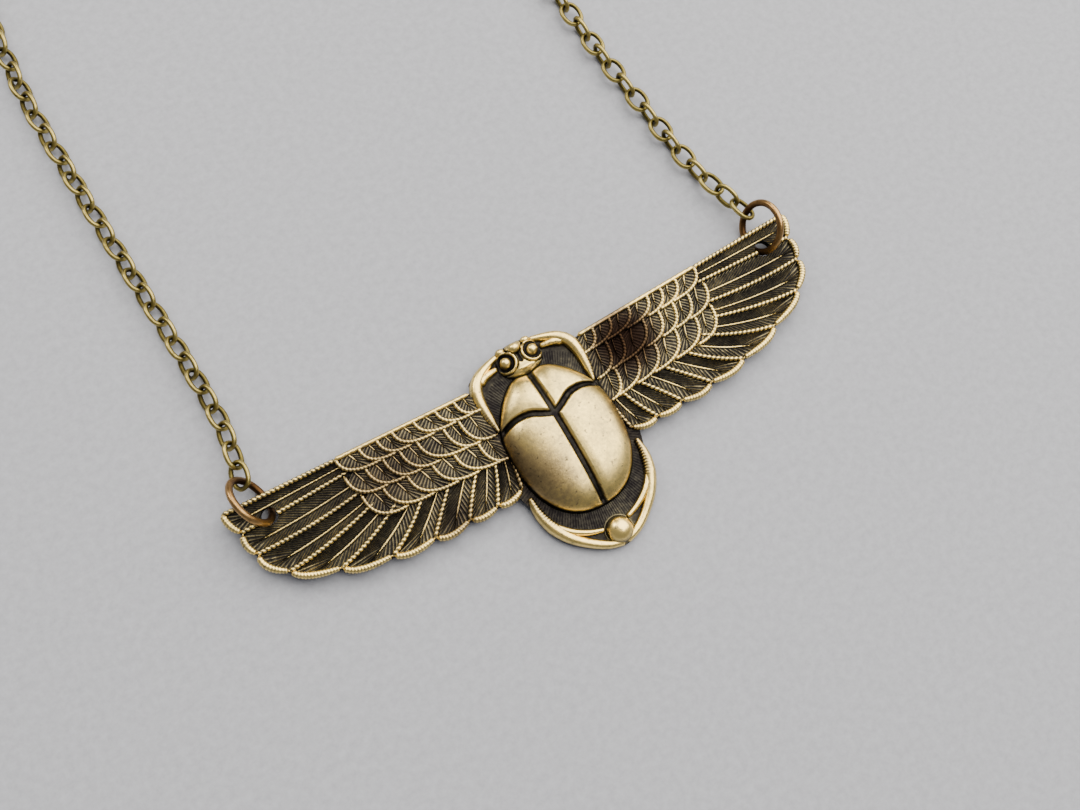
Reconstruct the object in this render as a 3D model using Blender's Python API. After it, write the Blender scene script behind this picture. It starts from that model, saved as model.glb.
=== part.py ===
"""A winged scarab necklace laid out on a table: a die-struck brass pendant, two jump rings, a chain, a hook.

The pendant is carved in its own frame, with its back at z = 0. It is then tilted a little about its lower
edge, because the two rings that pass through its wing tips lie under it. Metres, +Z up.
"""

import math

import bmesh
import bpy
import numpy as np
from mathutils import Matrix, Vector

MM = 0.001

# The pendant
WING_SPAN = 88 * MM
UNIT = WING_SPAN / 88  # plan sizes of the carving are drawn on a pendant 88 units wide
PLATE = 0.75 * MM
FEATHER_FIELD = 0.9 * MM
FEATHER_QUILL = 1.1 * MM
FEATHER_RIM = 1.3 * MM
SCALE_FIELD = 1.2 * MM
SCALE_RIM = 1.6 * MM
SCARAB_HEIGHT = 4.3 * MM
SCARAB_EDGE = 1.3 * MM
SCARAB_WALL = 0.9 * MM
GROOVE_WIDTH = 0.75 * MM
BALL_DIAMETER = 3.7 * MM
HEAD_HEIGHT = 2.3 * MM
LEG_DIAMETER = 1.5 * MM
HOLE_DIAMETER = 2.6 * MM

# The rings, the chain and the clasp
RING_DIAMETER = 8.0 * MM
RING_WIRE = 1.0 * MM
RING_LEAN = math.radians(62)
RING_YAW = math.radians(-8)
RING_AHEAD = 0.319 * RING_DIAMETER  # from the middle of the hole to the middle of the ring
RING_ASIDE = 0.144 * RING_DIAMETER
LIFT_UNDER_WINGS = 0.75 * MM
LINK_LENGTH = 4.2 * MM
LINK_WIDTH = 3.2 * MM
LINK_WIRE = 0.68 * MM
LINK_BITE = 0.12 * MM
LINKS_IN_A_RUN = 6
RUNS_ON_A_SIDE = 8
RUN_GAP = 0.3 * MM
CLASP_WIRE = 1.0 * MM
CLASP_EYE = 5.0 * MM
CLASP_SHANK = 7.0 * MM
CLASP_BEND = 4.0 * MM
CLASP_TIP = 3.5 * MM
END_RING_DIAMETER = 6.0 * MM
END_RING_WIRE = 0.9 * MM
END_RING_LEAN = math.radians(60)
HOOK_SEAT = 0.8 * MM  # how far inside the end ring the hook's wire and the last link's end are
LINK_SEAT = 0.7 * MM
CLEARANCE = 0.16 * MM
SLIVER = 0.02 * MM

# Plan of the carving, in units of UNIT, for the right wing; the left one is its mirror image.
# The edges between the nine long feathers, top one first: root, middle and tip of each.
FEATHER_EDGES = (
    ((26.0, 9.95), (35.5, 10.3), (44.3, 10.6)),
    ((26.0, 7.5), (35.0, 7.15), (43.2, 7.0)),
    ((25.5, 4.6), (34.5, 3.55), (42.7, 3.6)),
    ((25.0, 2.6), (33.0, 0.5), (40.1, -0.4)),
    ((23.0, 1.3), (28.6, -1.6), (34.2, -3.3)),
    ((19.8, 0.6), (23.6, -2.85), (27.7, -5.2)),
    ((16.0, 0.2), (18.9, -2.8), (21.8, -5.9)),
    ((12.0, 0.0), (14.4, -2.9), (16.7, -6.1)),
    ((9.6, 0.3), (10.7, -2.9), (12.6, -6.35)),
    ((7.5, 0.5), (7.9, -2.8), (8.5, -5.9)),
)
TIP_BULGES = (0.2, 0.3, 0.75, 1.0, 1.0, 0.65, 0.75, 0.5, 0.55)
# Each row of short feathers: the outer side of each feather, and the row's lower edge at its ends.
SCALE_ROWS = (
    ((28.5, 24.9, 21.9, 18.75, 15.7, 13.2, 10.9), (6.95, 6.3)),
    ((28.4, 25.25, 22.4, 19.6, 16.4, 13.5, 10.75), (3.75, 2.75)),
    ((27.75, 24.4, 21.2, 17.75, 14.4, 11.4), (0.4, -0.9)),
)
TOP_EDGE = ((8.6, 9.2), (44.3, 10.6))
# The outline of the ground that the scarab lies on, from the head down the right side to the tail.
HEAD_OUTLINE = ((0.0, 12.55), (2.2, 12.5), (4.6, 12.1), (6.6, 11.4), (8.0, 10.4), (8.35, 9.25))
TAIL_OUTLINE = (
    (9.0, -7.3), (9.0, -9.4), (8.5, -11.9), (7.0, -14.6), (5.0, -16.8), (2.6, -18.5), (0.0, -19.2),
)
FRONT_LEG = ((7.3, 2.9), (7.75, 5.4), (7.75, 7.8), (7.15, 9.7), (5.6, 10.9), (2.6, 11.6))
FRONT_SPUR = ((6.9, 9.9), (5.4, 9.85), (3.4, 10.1))
HIND_LEG = ((8.4, -7.3), (8.3, -9.6), (7.75, -12.0), (6.4, -14.4), (4.5, -16.4), (2.3, -17.8), (0.0, -18.6))
HIND_SPUR = ((7.3, -12.2), (5.7, -13.9), (3.9, -15.1), (1.9, -15.8))
BODY_CENTRE = (0.0, -2.3)
BODY_HALF_WIDTH = 8.2
SCALE_INNER_END = BODY_HALF_WIDTH  # the rows of short feathers end at the body's side
BODY_AHEAD = 9.8
BODY_BEHIND = 10.8
BODY_SQUARENESS = 2.25
SHOULDER_GROOVE = ((7.9, 1.9), (5.3, 2.6), (3.2, 2.35), (1.5, 1.5), (0.0, 0.8))
HOLE_PLACE = (39.0, 7.4)
BALL_PLACE = (0.0, -16.8)
EYE_PLACE = (2.1, 10.25)
EYE_RADIUS = 0.85
KNOB_PLACE = (0.0, 11.6)
HEAD_PLACE = (0.0, 10.05)
HEAD_RADII = (3.3, 2.5)

# The chain's way round the table in millimetres, from one ring to the other. Its height follows its length.
ROUTE = (
    (-39.6, 14.0), (-39.0, 22), (-39.3, 33), (-40.2, 47), (-41.2, 64), (-41.7, 82), (-39.5, 101),
    (-32.0, 119), (-19.0, 129), (-7.0, 132), (7.0, 132), (19.0, 129), (30.0, 119), (35.3, 102),
    (36.0, 85), (35.0, 68), (35.3, 50), (36.3, 37), (37.6, 24), (39.6, 14.0),
)

RING_HOLD = math.radians(-20)  # how far round the ring the first link hangs
COS_30 = math.cos(math.radians(30))

BRASS = (0.55, 0.42, 0.2, 1)
DARK_BRASS = (0.3, 0.21, 0.1, 1)


def clear_scene():
    for old in list(bpy.data.objects):
        bpy.data.objects.remove(old, do_unlink=True)


def make_collection(name):
    collection = bpy.data.collections.new(name)
    bpy.context.scene.collection.children.link(collection)
    return collection


def make_material(name, colour, roughness):
    material = bpy.data.materials.new(name)
    material.use_nodes = True
    shader = material.node_tree.nodes["Principled BSDF"]
    shader.inputs["Base Color"].default_value = colour
    shader.inputs["Metallic"].default_value = 1
    shader.inputs["Roughness"].default_value = roughness
    return material


def place(mesh, name, collection, material=None):
    piece = bpy.data.objects.new(name, mesh)
    collection.objects.link(piece)
    if material:
        mesh.materials.append(material)
    if collection is cutters:
        piece.hide_render = True
        piece.display_type = "WIRE"
    return piece


def finish(bm, name, collection, material=None):
    bmesh.ops.recalc_face_normals(bm, faces=bm.faces)
    mesh = bpy.data.meshes.new(name)
    bm.to_mesh(mesh)
    bm.free()
    return place(mesh, name, collection, material)


def boolean(piece, tool, operation):
    """Cut the tool from the piece, or join it on, and remove the tool."""
    modifier = piece.modifiers.new(operation, "BOOLEAN")
    modifier.operation = operation
    modifier.object = tool
    modifier.solver = "EXACT"
    evaluated = piece.evaluated_get(bpy.context.evaluated_depsgraph_get())
    result = bpy.data.meshes.new_from_object(evaluated)
    piece.modifiers.remove(modifier)
    piece.data = result
    bpy.data.objects.remove(tool, do_unlink=True)


def merge_flats(piece):
    """Merge the slivers that joining left, and the flat faces that it split."""
    bm = bmesh.new()
    bm.from_mesh(piece.data)
    bmesh.ops.remove_doubles(bm, verts=bm.verts, dist=SLIVER)
    bmesh.ops.dissolve_limit(bm, angle_limit=math.radians(1), verts=bm.verts, edges=bm.edges)
    bm.to_mesh(piece.data)
    bm.free()


def tube(points, radii, name, collection, sides=2, cyclic=False, material=None):
    """A wire along the points: a bevelled curve, made a mesh with its end caps welded on."""
    curve = bpy.data.curves.new(name, "CURVE")
    curve.dimensions = "3D"
    curve.bevel_depth = 1
    curve.bevel_resolution = sides
    curve.use_fill_caps = not cyclic
    spline = curve.splines.new("POLY")
    spline.points.add(len(points) - 1)
    spline.use_cyclic_u = cyclic
    for knot, point, radius in zip(spline.points, points, np.broadcast_to(radii, len(points))):
        knot.co = (*point, 1)
        knot.radius = radius
    guide = bpy.data.objects.new(name, curve)
    collection.objects.link(guide)
    evaluated = guide.evaluated_get(bpy.context.evaluated_depsgraph_get())
    mesh = bpy.data.meshes.new_from_object(evaluated)
    bpy.data.objects.remove(guide, do_unlink=True)
    bm = bmesh.new()
    bm.from_mesh(mesh)
    bmesh.ops.remove_doubles(bm, verts=bm.verts, dist=0.01 * MM)
    return finish(bm, name, collection, material)


def smooth_path(points, count):
    """Evenly spaced points on a Catmull-Rom curve through the given ones."""
    knots = np.array(points, dtype=float)
    ends = np.vstack([2 * knots[0] - knots[1], knots, 2 * knots[-1] - knots[-2]])
    share = np.linspace(0, 1, 24, endpoint=False)[:, None]
    pieces = []
    for before, start, stop, after in zip(ends, ends[1:], ends[2:], ends[3:]):
        bend = 2 * before - 5 * start + 4 * stop - after
        twist = 3 * start - 3 * stop + after - before
        pieces.append(0.5 * (2 * start + (stop - before) * share + bend * share**2 + twist * share**3))
    fine = np.vstack([*pieces, knots[-1:]])
    walked = np.concatenate([[0], np.cumsum(np.linalg.norm(np.diff(fine, axis=0), axis=1))])
    wanted = np.linspace(0, walked[-1], count)
    return np.column_stack([np.interp(wanted, walked, column) for column in fine.T])


def through_three(points, share):
    """The parabola that passes the three points at shares 0, 0.5 and 1."""
    start, middle, stop = (np.array(point) for point in points)
    share = np.asarray(share)[..., None]
    outer = start * (1 - share) * (1 - 2 * share) + stop * share * (2 * share - 1)
    return outer + middle * 4 * share * (1 - share)


def slab(bm, tops, floor):
    """A closed block under a grid of top points: sheer walls down to a flat floor."""
    rows, columns = tops.shape[:2]
    grid = bmesh.ops.create_grid(bm, x_segments=columns - 1, y_segments=rows - 1, size=0.5)["verts"]
    for vertex, top in zip(grid, tops.reshape(-1, 3)):
        vertex.co = top
    rim = [edge for edge in {edge for vertex in grid for edge in vertex.link_edges} if edge.is_boundary]
    walls = bmesh.ops.extrude_edge_only(bm, edges=rim)["geom"]
    for vertex in (item for item in walls if isinstance(item, bmesh.types.BMVert)):
        vertex.co.z = floor
    bottom = [item for item in walls if isinstance(item, bmesh.types.BMEdge) and item.is_boundary]
    bmesh.ops.contextual_create(bm, geom=bottom)


def feather_fan(bm, side):
    """The nine long feathers of one wing: each rises from under the one above to its quill and its rim."""
    across = np.array([0, 0.45, 0.8, 0.91])
    heights = np.array([FEATHER_FIELD, FEATHER_QUILL, FEATHER_FIELD, FEATHER_RIM])
    along = np.array([0, 0.4, 0.72, 0.92, 0.97, 1.0])
    tip = np.interp(along, [0.92, 0.97, 1.0], [0, 1, 0.4])
    rows = []
    for number, bulge in enumerate(TIP_BULGES):
        upper = through_three(FEATHER_EDGES[number], along)
        lower = through_three(FEATHER_EDGES[number + 1], along)
        outward = np.diff(through_three(FEATHER_EDGES[number + 1], [0.9, 1.0]), axis=0)
        outward = outward / np.linalg.norm(outward)
        for share, height in zip(across, heights):
            swell = 4 * share * (1 - share) * bulge * along[:, None] ** 6
            plan = (upper * (1 - share) + lower * share + outward * swell) * UNIT
            rise = np.maximum(height, FEATHER_FIELD + (FEATHER_RIM - FEATHER_FIELD) * tip)
            rows.append(np.column_stack([side * plan[:, 0], plan[:, 1], rise]))
    last = through_three(FEATHER_EDGES[-1], along) * UNIT
    rows.append(np.column_stack([side * last[:, 0], last[:, 1], np.full(len(along), FEATHER_FIELD)]))
    slab(bm, np.array(rows), PLATE / 3)


def wing_top(x):
    (inner, low), (outer, high) = TOP_EDGE
    return low + (high - low) * (x - inner) / (outer - inner)


def scale_row(bm, side, row):
    """One row of short feathers: raised arms that curve in to a scalloped lower rim, as one block."""
    arms, (low_out, low_in) = SCALE_ROWS[row]
    arms = np.array([*arms, SCALE_INNER_END])
    widths = -np.diff(arms)
    widths = np.append(widths, widths[-1])
    down = np.array([0, 0.5, 0.84, 1.0])
    across = np.array([0, 0.16])
    columns = []
    for number, arm in enumerate(arms):
        for share in across[: 1 if number == len(arms) - 1 else len(across)]:
            bend = widths[number] * 0.55 * down**3
            next_bend = widths[min(number + 1, len(arms) - 1)] * 0.55 * down**3
            x = arm - widths[number] * share - bend * (1 - share) - next_bend * share
            slope = (x - SCALE_INNER_END) / (arms[0] - SCALE_INNER_END)
            bottom = low_in + (low_out - low_in) * slope - 0.45 * math.sin(math.pi * share)
            if row:
                above_out, above_in = SCALE_ROWS[row - 1][1]
                top = above_in + (above_out - above_in) * slope + 0.5
            else:
                top = wing_top(x) + 0.04
            arm_rise = SCALE_RIM if share else SCALE_FIELD
            rise = np.array([SCALE_FIELD if row == 0 else 0.9 * PLATE, SCALE_FIELD, SCALE_FIELD, SCALE_RIM])
            rise = np.maximum(rise, np.where(down > 0.1, arm_rise, 0))
            y = top - (top - bottom) * down
            columns.append(np.column_stack([side * x * UNIT, y * UNIT, rise]))
    slab(bm, np.array(columns), PLATE * (0.5 + 0.1 * (row % 2)))


def scale_rows():
    """The short feathers of both wings in two meshes, so that no two rows in one mesh touch."""
    groups = [bmesh.new(), bmesh.new()]
    for row in range(len(SCALE_ROWS)):
        for side in (-1, 1):
            scale_row(groups[row % 2], side, row)
    return [finish(bm, "scales", cutters) for bm in groups]


def wing_outline():
    """The edge of one wing's plate, from the top at the body round the tips to the notch, a little inside."""
    points = [np.array(TOP_EDGE[0]) - (0, 0.13)]
    for number, bulge in enumerate(TIP_BULGES):
        share = np.array([0.04, 0.3, 0.5, 0.7, 0.97])
        start = np.array(FEATHER_EDGES[number][2])
        stop = np.array(FEATHER_EDGES[number + 1][2])
        outward = stop - np.array(FEATHER_EDGES[number + 1][1])
        outward = outward / np.linalg.norm(outward)
        swell = 4 * share * (1 - share) * bulge - 0.12
        points.extend(start + (stop - start) * share[:, None] + outward * swell[:, None])
    return points


def plate():
    """The ground of the stamping, one flat sheet with the outline of the wings, the legs and the tail."""
    head, tail = ([np.array(point) for point in line] for line in (HEAD_OUTLINE, TAIL_OUTLINE))
    half = head + wing_outline() + tail
    outline = half + [point * (-1, 1) for point in half[-2:0:-1]]
    curve = bpy.data.curves.new("plate", "CURVE")
    curve.dimensions = "2D"
    curve.fill_mode = "BOTH"
    curve.extrude = PLATE / 2
    spline = curve.splines.new("POLY")
    spline.points.add(len(outline) - 1)
    spline.use_cyclic_u = True
    for knot, point in zip(spline.points, outline):
        knot.co = (*(point * UNIT), 0, 1)
    guide = bpy.data.objects.new("plate", curve)
    cutters.objects.link(guide)
    mesh = bpy.data.meshes.new_from_object(guide.evaluated_get(bpy.context.evaluated_depsgraph_get()))
    bpy.data.objects.remove(guide, do_unlink=True)
    mesh.transform(Matrix.Translation((0, 0, PLATE / 2)))
    bm = bmesh.new()
    bm.from_mesh(mesh)
    bmesh.ops.remove_doubles(bm, verts=bm.verts, dist=0.01 * MM)
    return finish(bm, "winged_scarab", parts, brass)


def oval(points):
    """How far each plan point is from the body's centre, as a share of the body's oval outline."""
    offset = (np.asarray(points, dtype=float) - BODY_CENTRE) / BODY_HALF_WIDTH
    offset[..., 1] *= BODY_HALF_WIDTH / np.where(offset[..., 1] > 0, BODY_AHEAD, BODY_BEHIND)
    return (np.abs(offset) ** BODY_SQUARENESS).sum(-1) ** (1 / BODY_SQUARENESS)


def dome(inset, top, floor, name):
    """The body's dome: a ball with a squared oval plan and a flat underside."""
    bm = bmesh.new()
    bmesh.ops.create_uvsphere(bm, u_segments=20, v_segments=10, radius=1)
    for vertex in bm.verts:
        x, y, z = vertex.co
        round_plan = math.hypot(x, y)
        if round_plan > 1e-6:
            ahead = BODY_AHEAD if y > 0 else BODY_BEHIND
            squared = abs(x) ** BODY_SQUARENESS + abs(y) ** BODY_SQUARENESS
            stretch = round_plan / squared ** (1 / BODY_SQUARENESS)
            x *= stretch * (BODY_HALF_WIDTH * UNIT - inset)
            y *= stretch * (ahead * UNIT - inset)
        rise = (top - SCARAB_EDGE) * z if z > 0 else (SCARAB_EDGE - floor) * z
        vertex.co = (x + BODY_CENTRE[0] * UNIT, y + BODY_CENTRE[1] * UNIT, SCARAB_EDGE + rise)
    return finish(bm, name, cutters)


def groove(points):
    """A round-bottomed groove that follows the dome's surface."""
    plan = smooth_path(points, 9)
    height = SCARAB_EDGE + (SCARAB_HEIGHT - SCARAB_EDGE) * np.sqrt(np.clip(1 - oval(plan) ** 2, 0, 1))
    return tube(np.column_stack([plan * UNIT, height]), GROOVE_WIDTH / 2, "groove", cutters, sides=1)


def ball(place_at, radii, name, segments=12):
    bm = bmesh.new()
    bmesh.ops.create_uvsphere(bm, u_segments=segments, v_segments=segments // 2, radius=1)
    bmesh.ops.scale(bm, vec=radii, verts=bm.verts)
    bmesh.ops.translate(bm, vec=place_at, verts=bm.verts)
    return finish(bm, name, cutters)


def leg(points, thickness):
    """A leg in half relief: a tapering round bar sunk in the plate."""
    radii = LEG_DIAMETER / 2 * np.asarray(thickness)
    height = radii + PLATE / 10
    return tube(np.column_stack([np.array(points) * UNIT, height]), radii, "leg", cutters, sides=1)


def legs():
    """Two front legs and their spurs, and the hind pair, which meet under the ball, as one bar and two spurs."""
    for side in (-1, 1):
        mirror = np.array([side, 1])
        yield leg(FRONT_LEG * mirror, np.linspace(1.25, 0.85, len(FRONT_LEG)))
        yield leg(FRONT_SPUR * mirror, np.linspace(0.9, 0.5, len(FRONT_SPUR)))
        yield leg(HIND_SPUR * mirror, np.linspace(0.8, 0.5, len(HIND_SPUR)))
    half = np.linspace(1.2, 0.8, len(HIND_LEG))
    yield leg(np.vstack([HIND_LEG * np.array([-1, 1]), HIND_LEG[-2::-1]]), [*half, *half[-2::-1]])


def winged_scarab():
    """The stamping: plate, feathers, scales and scarab joined, with a hollow back and a hole in each tip."""
    pendant = plate()
    fans = bmesh.new()
    for side in (-1, 1):
        feather_fan(fans, side)
    boolean(pendant, finish(fans, "feathers", cutters), "UNION")
    for group in scale_rows():
        boolean(pendant, group, "UNION")
    for bar in legs():
        boolean(pendant, bar, "UNION")
    body = dome(0, SCARAB_HEIGHT, PLATE / 2, "body")
    mirrored = [(-x, y) for x, y in SHOULDER_GROOVE]
    middle = BODY_CENTRE[1]
    down_the_middle = ((0, middle + BODY_AHEAD + 1), BODY_CENTRE, (0, middle - BODY_BEHIND - 1))
    for points in (down_the_middle, SHOULDER_GROOVE, mirrored):
        boolean(body, groove(points), "DIFFERENCE")
    head_middle = (HEAD_PLACE[0] * UNIT, HEAD_PLACE[1] * UNIT, HEAD_HEIGHT / 2 + PLATE / 10)
    head = ball(head_middle, (HEAD_RADII[0] * UNIT, HEAD_RADII[1] * UNIT, HEAD_HEIGHT / 2), "head")
    boolean(pendant, body, "UNION")
    boolean(pendant, head, "UNION")
    for side in (-1, 1):
        eye_middle = (side * EYE_PLACE[0] * UNIT, EYE_PLACE[1] * UNIT, 0.9 * HEAD_HEIGHT)
        boolean(pendant, ball(eye_middle, [EYE_RADIUS * UNIT] * 3, "eye", 8), "UNION")
    knob_middle = (KNOB_PLACE[0] * UNIT, KNOB_PLACE[1] * UNIT, 0.65 * HEAD_HEIGHT)
    boolean(pendant, ball(knob_middle, (0.95 * UNIT, 0.9 * UNIT, HEAD_HEIGHT / 2), "knob", 8), "UNION")
    flat = 0.38 * BALL_DIAMETER
    place_at = (BALL_PLACE[0] * UNIT, BALL_PLACE[1] * UNIT, flat + PLATE / 10)
    boolean(pendant, ball(place_at, (BALL_DIAMETER / 2, BALL_DIAMETER / 2, flat), "pushed_ball"), "UNION")
    boolean(pendant, dome(SCARAB_WALL, SCARAB_HEIGHT - SCARAB_WALL, -SCARAB_HEIGHT, "hollow"), "DIFFERENCE")
    for side in (-1, 1):
        bm = bmesh.new()
        bmesh.ops.create_cone(bm, cap_ends=True, segments=16, radius1=HOLE_DIAMETER / 2,
                              radius2=HOLE_DIAMETER / 2, depth=6 * SCALE_RIM)
        bmesh.ops.translate(bm, vec=(side * HOLE_PLACE[0] * UNIT, HOLE_PLACE[1] * UNIT, 0), verts=bm.verts)
        boolean(pendant, finish(bm, "hole", cutters), "DIFFERENCE")
    merge_flats(pendant)
    return pendant


def wire_ring(diameter, wire, segments, name, collection, material=None):
    """A closed round ring, flat about its own middle."""
    radius = (diameter - wire) / 2
    turns = np.linspace(0, 2 * math.pi, segments, endpoint=False)
    points = np.column_stack([radius * np.cos(turns), radius * np.sin(turns), np.zeros(segments)])
    return tube(points, wire / 2, name, collection, sides=1, cyclic=True, material=material)


def tilt_matrix():
    """Turns the pendant about its lower edge, so that each wing tip clears the ring under it."""
    lower_edge = TAIL_OUTLINE[-1][1] * UNIT
    reach = HOLE_PLACE[1] * UNIT - lower_edge
    tilt = math.asin((RING_WIRE + LIFT_UNDER_WINGS - CLEARANCE) / reach)
    about = Matrix.Translation((0, lower_edge, 0))
    return about @ Matrix.Rotation(tilt, 4, "X") @ about.inverted()


def ring_pose(side):
    """Where a jump ring hangs in its hole: leaning outwards, its lowest point on the table."""
    hole = tilt_matrix() @ Vector((HOLE_PLACE[0] * UNIT, HOLE_PLACE[1] * UNIT, 0))
    radius = (RING_DIAMETER - RING_WIRE) / 2
    middle = Vector((hole.x + RING_ASIDE, hole.y + RING_AHEAD, radius * math.sin(RING_LEAN) + RING_WIRE / 2))
    along = Vector((-math.sin(RING_YAW), math.cos(RING_YAW), 0))
    rising = Vector((math.cos(RING_LEAN) * math.cos(RING_YAW), math.cos(RING_LEAN) * math.sin(RING_YAW),
                     math.sin(RING_LEAN)))
    turned = [Vector((side * v.x, v.y, v.z)) for v in (middle, along, rising)]
    return turned


def ring_end(side):
    """The point of the ring's wire that the first link hangs on."""
    middle, along, rising = ring_pose(side)
    radius = (RING_DIAMETER - RING_WIRE) / 2
    return middle + radius * (math.cos(RING_HOLD) * along + math.sin(RING_HOLD) * rising)


def jump_ring(side, name):
    ring = wire_ring(RING_DIAMETER, RING_WIRE, 20, name, parts, dark_brass)
    middle, along, rising = ring_pose(side)
    across = along.cross(rising)
    ring.matrix_world = Matrix.Translation(middle) @ Matrix((along, rising, across)).transposed().to_4x4()
    return ring


def link_sizes():
    """The link's six-sided middle line, half as long and half as wide, its section's radius, its inner end."""
    section = LINK_WIRE / 1.3
    half_length = (LINK_LENGTH - COS_30 * section) / 2
    half_width = (LINK_WIDTH - section) / 2
    return half_length, half_width, section, half_length - COS_30 * section


def add_link(bm, pose):
    """A link as a ring of six three-sided lengths with a ridge inside, placed by the pose."""
    half_length, half_width, section, _ = link_sizes()
    corners = []
    for step in range(6):
        turn = math.radians(60 * step)
        outward = Vector((math.cos(turn), math.sin(turn), 0))
        middle = Vector((half_width * math.cos(turn), half_length * math.sin(turn) / COS_30, 0))
        for corner in range(3):
            angle = math.radians(120 * corner + 180)
            offset = outward * section * math.cos(angle) + Vector((0, 0, section * math.sin(angle)))
            corners.append(bm.verts.new(pose @ (middle + offset)))
    for step in range(6):
        for corner in range(3):
            here, there = 3 * step, 3 * ((step + 1) % 6)
            after = (corner + 1) % 3
            bm.faces.new([corners[here + corner], corners[there + corner], corners[there + after],
                          corners[here + after]])


def stations():
    """How far along the chain's way each link's middle is, on both sides, and the clasp's hook and ring."""
    inner_end = link_sizes()[3]
    first = inner_end - RING_WIRE / 2 - CLEARANCE
    steps = []
    for number in range(1, LINKS_IN_A_RUN * RUNS_ON_A_SIDE):
        steps.append(2 * inner_end + (LINK_BITE if number % LINKS_IN_A_RUN else -RUN_GAP))
    side = first + np.concatenate([[0], np.cumsum(steps)])
    eye = side[-1] + inner_end - CLEARANCE - CLASP_WIRE / 2 + (CLASP_EYE - CLASP_WIRE) / 2
    bend = eye + CLASP_SHANK
    end_ring = bend + (CLASP_BEND - CLASP_WIRE) / 2 + HOOK_SEAT
    last = end_ring + inner_end + LINK_SEAT
    total = last + side[-1]
    return side, total - side, eye, bend, end_ring, total


def chain_way(total):
    """The chain's way round the table, stretched away from the wings until it is as long as the chain."""
    start, stop = ring_end(-1), ring_end(1)
    inner = np.array(ROUTE[1:-1]) * MM
    low, high = 0.5, 2.0
    for _ in range(40):
        stretch = (low + high) / 2
        drawn = inner * (1, 1)
        drawn[:, 1] = start.y + (inner[:, 1] - ROUTE[0][1] * MM) * stretch
        way = smooth_path(np.vstack([start.xy, drawn, stop.xy]), 1200)
        length = np.linalg.norm(np.diff(way, axis=0), axis=1).sum()
        low, high = (stretch, high) if length < total else (low, stretch)
    return way


def roll_at(share):
    """How far the links are rolled about the chain: along the left side they lie on their corners."""
    return math.radians(float(np.interp(share, (0, 0.03, 0.36, 0.46, 0.5, 0.5001, 0.54, 0.7, 0.96, 1),
                                        (-30, -45, -45, 0, 0, 120, 120, 0, 0, -30))))


def point_at(way, total, distance):
    walked = np.linspace(0, total, len(way))
    return Vector([float(np.interp(distance, walked, column)) for column in way.T])


def pose_at(way, total, distance, roll):
    """A frame on the way: Y along it, rolled about it, at the height that keeps a link on the table."""
    here = point_at(way, total, distance)
    step = point_at(way, total, distance + MM) - point_at(way, total, distance - MM)
    heading = math.atan2(step.y, step.x) - math.pi / 2
    slant = roll_at(distance / total)
    small, large = sorted((abs(math.sin(slant)), abs(math.cos(slant))))
    rest = LINK_WIDTH / 2 * large + COS_30 * link_sizes()[2] * small
    nearest = min(distance, total - distance)
    height = rest + (ring_end(1).z - rest) * math.exp(-((nearest / (1.6 * LINK_LENGTH)) ** 2))
    turn = Matrix.Rotation(heading, 4, "Z") @ Matrix.Rotation(roll, 4, "Y")
    return Matrix.Translation((*here, max(height, rest))) @ turn


def chain_side(way, total, distances, name):
    """One side of the chain in runs of fused links, counted from its jump ring."""
    for run in range(RUNS_ON_A_SIDE):
        halves = [bmesh.new(), bmesh.new()]
        for number in range(run * LINKS_IN_A_RUN, (run + 1) * LINKS_IN_A_RUN):
            distance = distances[number]
            roll = roll_at(distance / total) + math.radians(90 * (number % 2))
            add_link(halves[number % 2], pose_at(way, total, distance, roll))
        chain = finish(halves[0], f"{name}_{run + 1}", parts, brass)
        boolean(chain, finish(halves[1], "links", cutters), "UNION")


def clasp_pose(way, total, eye, end_ring):
    """The straight line of the clasp, from the middle of the hook's eye to the middle of the ring."""
    step = point_at(way, total, end_ring) - point_at(way, total, eye)
    pose = pose_at(way, total, eye, 0)
    heading = math.atan2(step.y, step.x) - math.pi / 2
    return Matrix.Translation(pose.translation) @ Matrix.Rotation(heading, 4, "Z")


def clasp_hook(pose, reach):
    """A bent-wire hook: an eye round the last link, a shank and a bend open towards the eye."""
    turns = np.radians(np.linspace(25, 320, 13))
    eye_radius = (CLASP_EYE - CLASP_WIRE) / 2
    bend_radius = (CLASP_BEND - CLASP_WIRE) / 2
    around = np.radians(np.linspace(-90, 90, 7))
    points = [(eye_radius * math.sin(turn), eye_radius * math.cos(turn)) for turn in turns]
    points += [(-bend_radius, 0.45 * reach), (-bend_radius, reach - 0.2 * CLASP_WIRE)]
    points += [(bend_radius * math.sin(turn), reach + bend_radius * math.cos(turn)) for turn in around]
    points += [(bend_radius, reach - 0.6 * CLASP_TIP), (1.2 * bend_radius, reach - CLASP_TIP)]
    line = [(x, y, 0) for x, y in points]
    hook = tube(line, CLASP_WIRE / 2, "clasp_hook", parts, sides=1, material=dark_brass)
    hook.matrix_world = pose
    return hook


def clasp_ring(pose, reach):
    ring = wire_ring(END_RING_DIAMETER, END_RING_WIRE, 16, "clasp_ring", parts, dark_brass)
    height = (END_RING_DIAMETER - END_RING_WIRE) / 2 * math.sin(END_RING_LEAN) + END_RING_WIRE / 2
    rise = height - pose.translation.z
    middle = Matrix.Translation((rise / math.tan(END_RING_LEAN), reach, rise))
    ring.matrix_world = pose @ middle @ Matrix.Rotation(-END_RING_LEAN, 4, "Y")
    return ring


def settle_on_table():
    """Move everything so that the middle of the layout's underside is the origin."""
    bpy.context.view_layer.update()
    pieces = list(parts.objects)
    corners = np.array([piece.matrix_world @ vertex.co for piece in pieces for vertex in piece.data.vertices])
    low, high = corners.min(axis=0), corners.max(axis=0)
    table = bpy.data.objects.new("table_centre", None)
    bpy.context.scene.collection.objects.link(table)
    table.location = (-(low[0] + high[0]) / 2, -(low[1] + high[1]) / 2, -low[2])
    for piece in pieces:
        piece.parent = table


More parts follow.
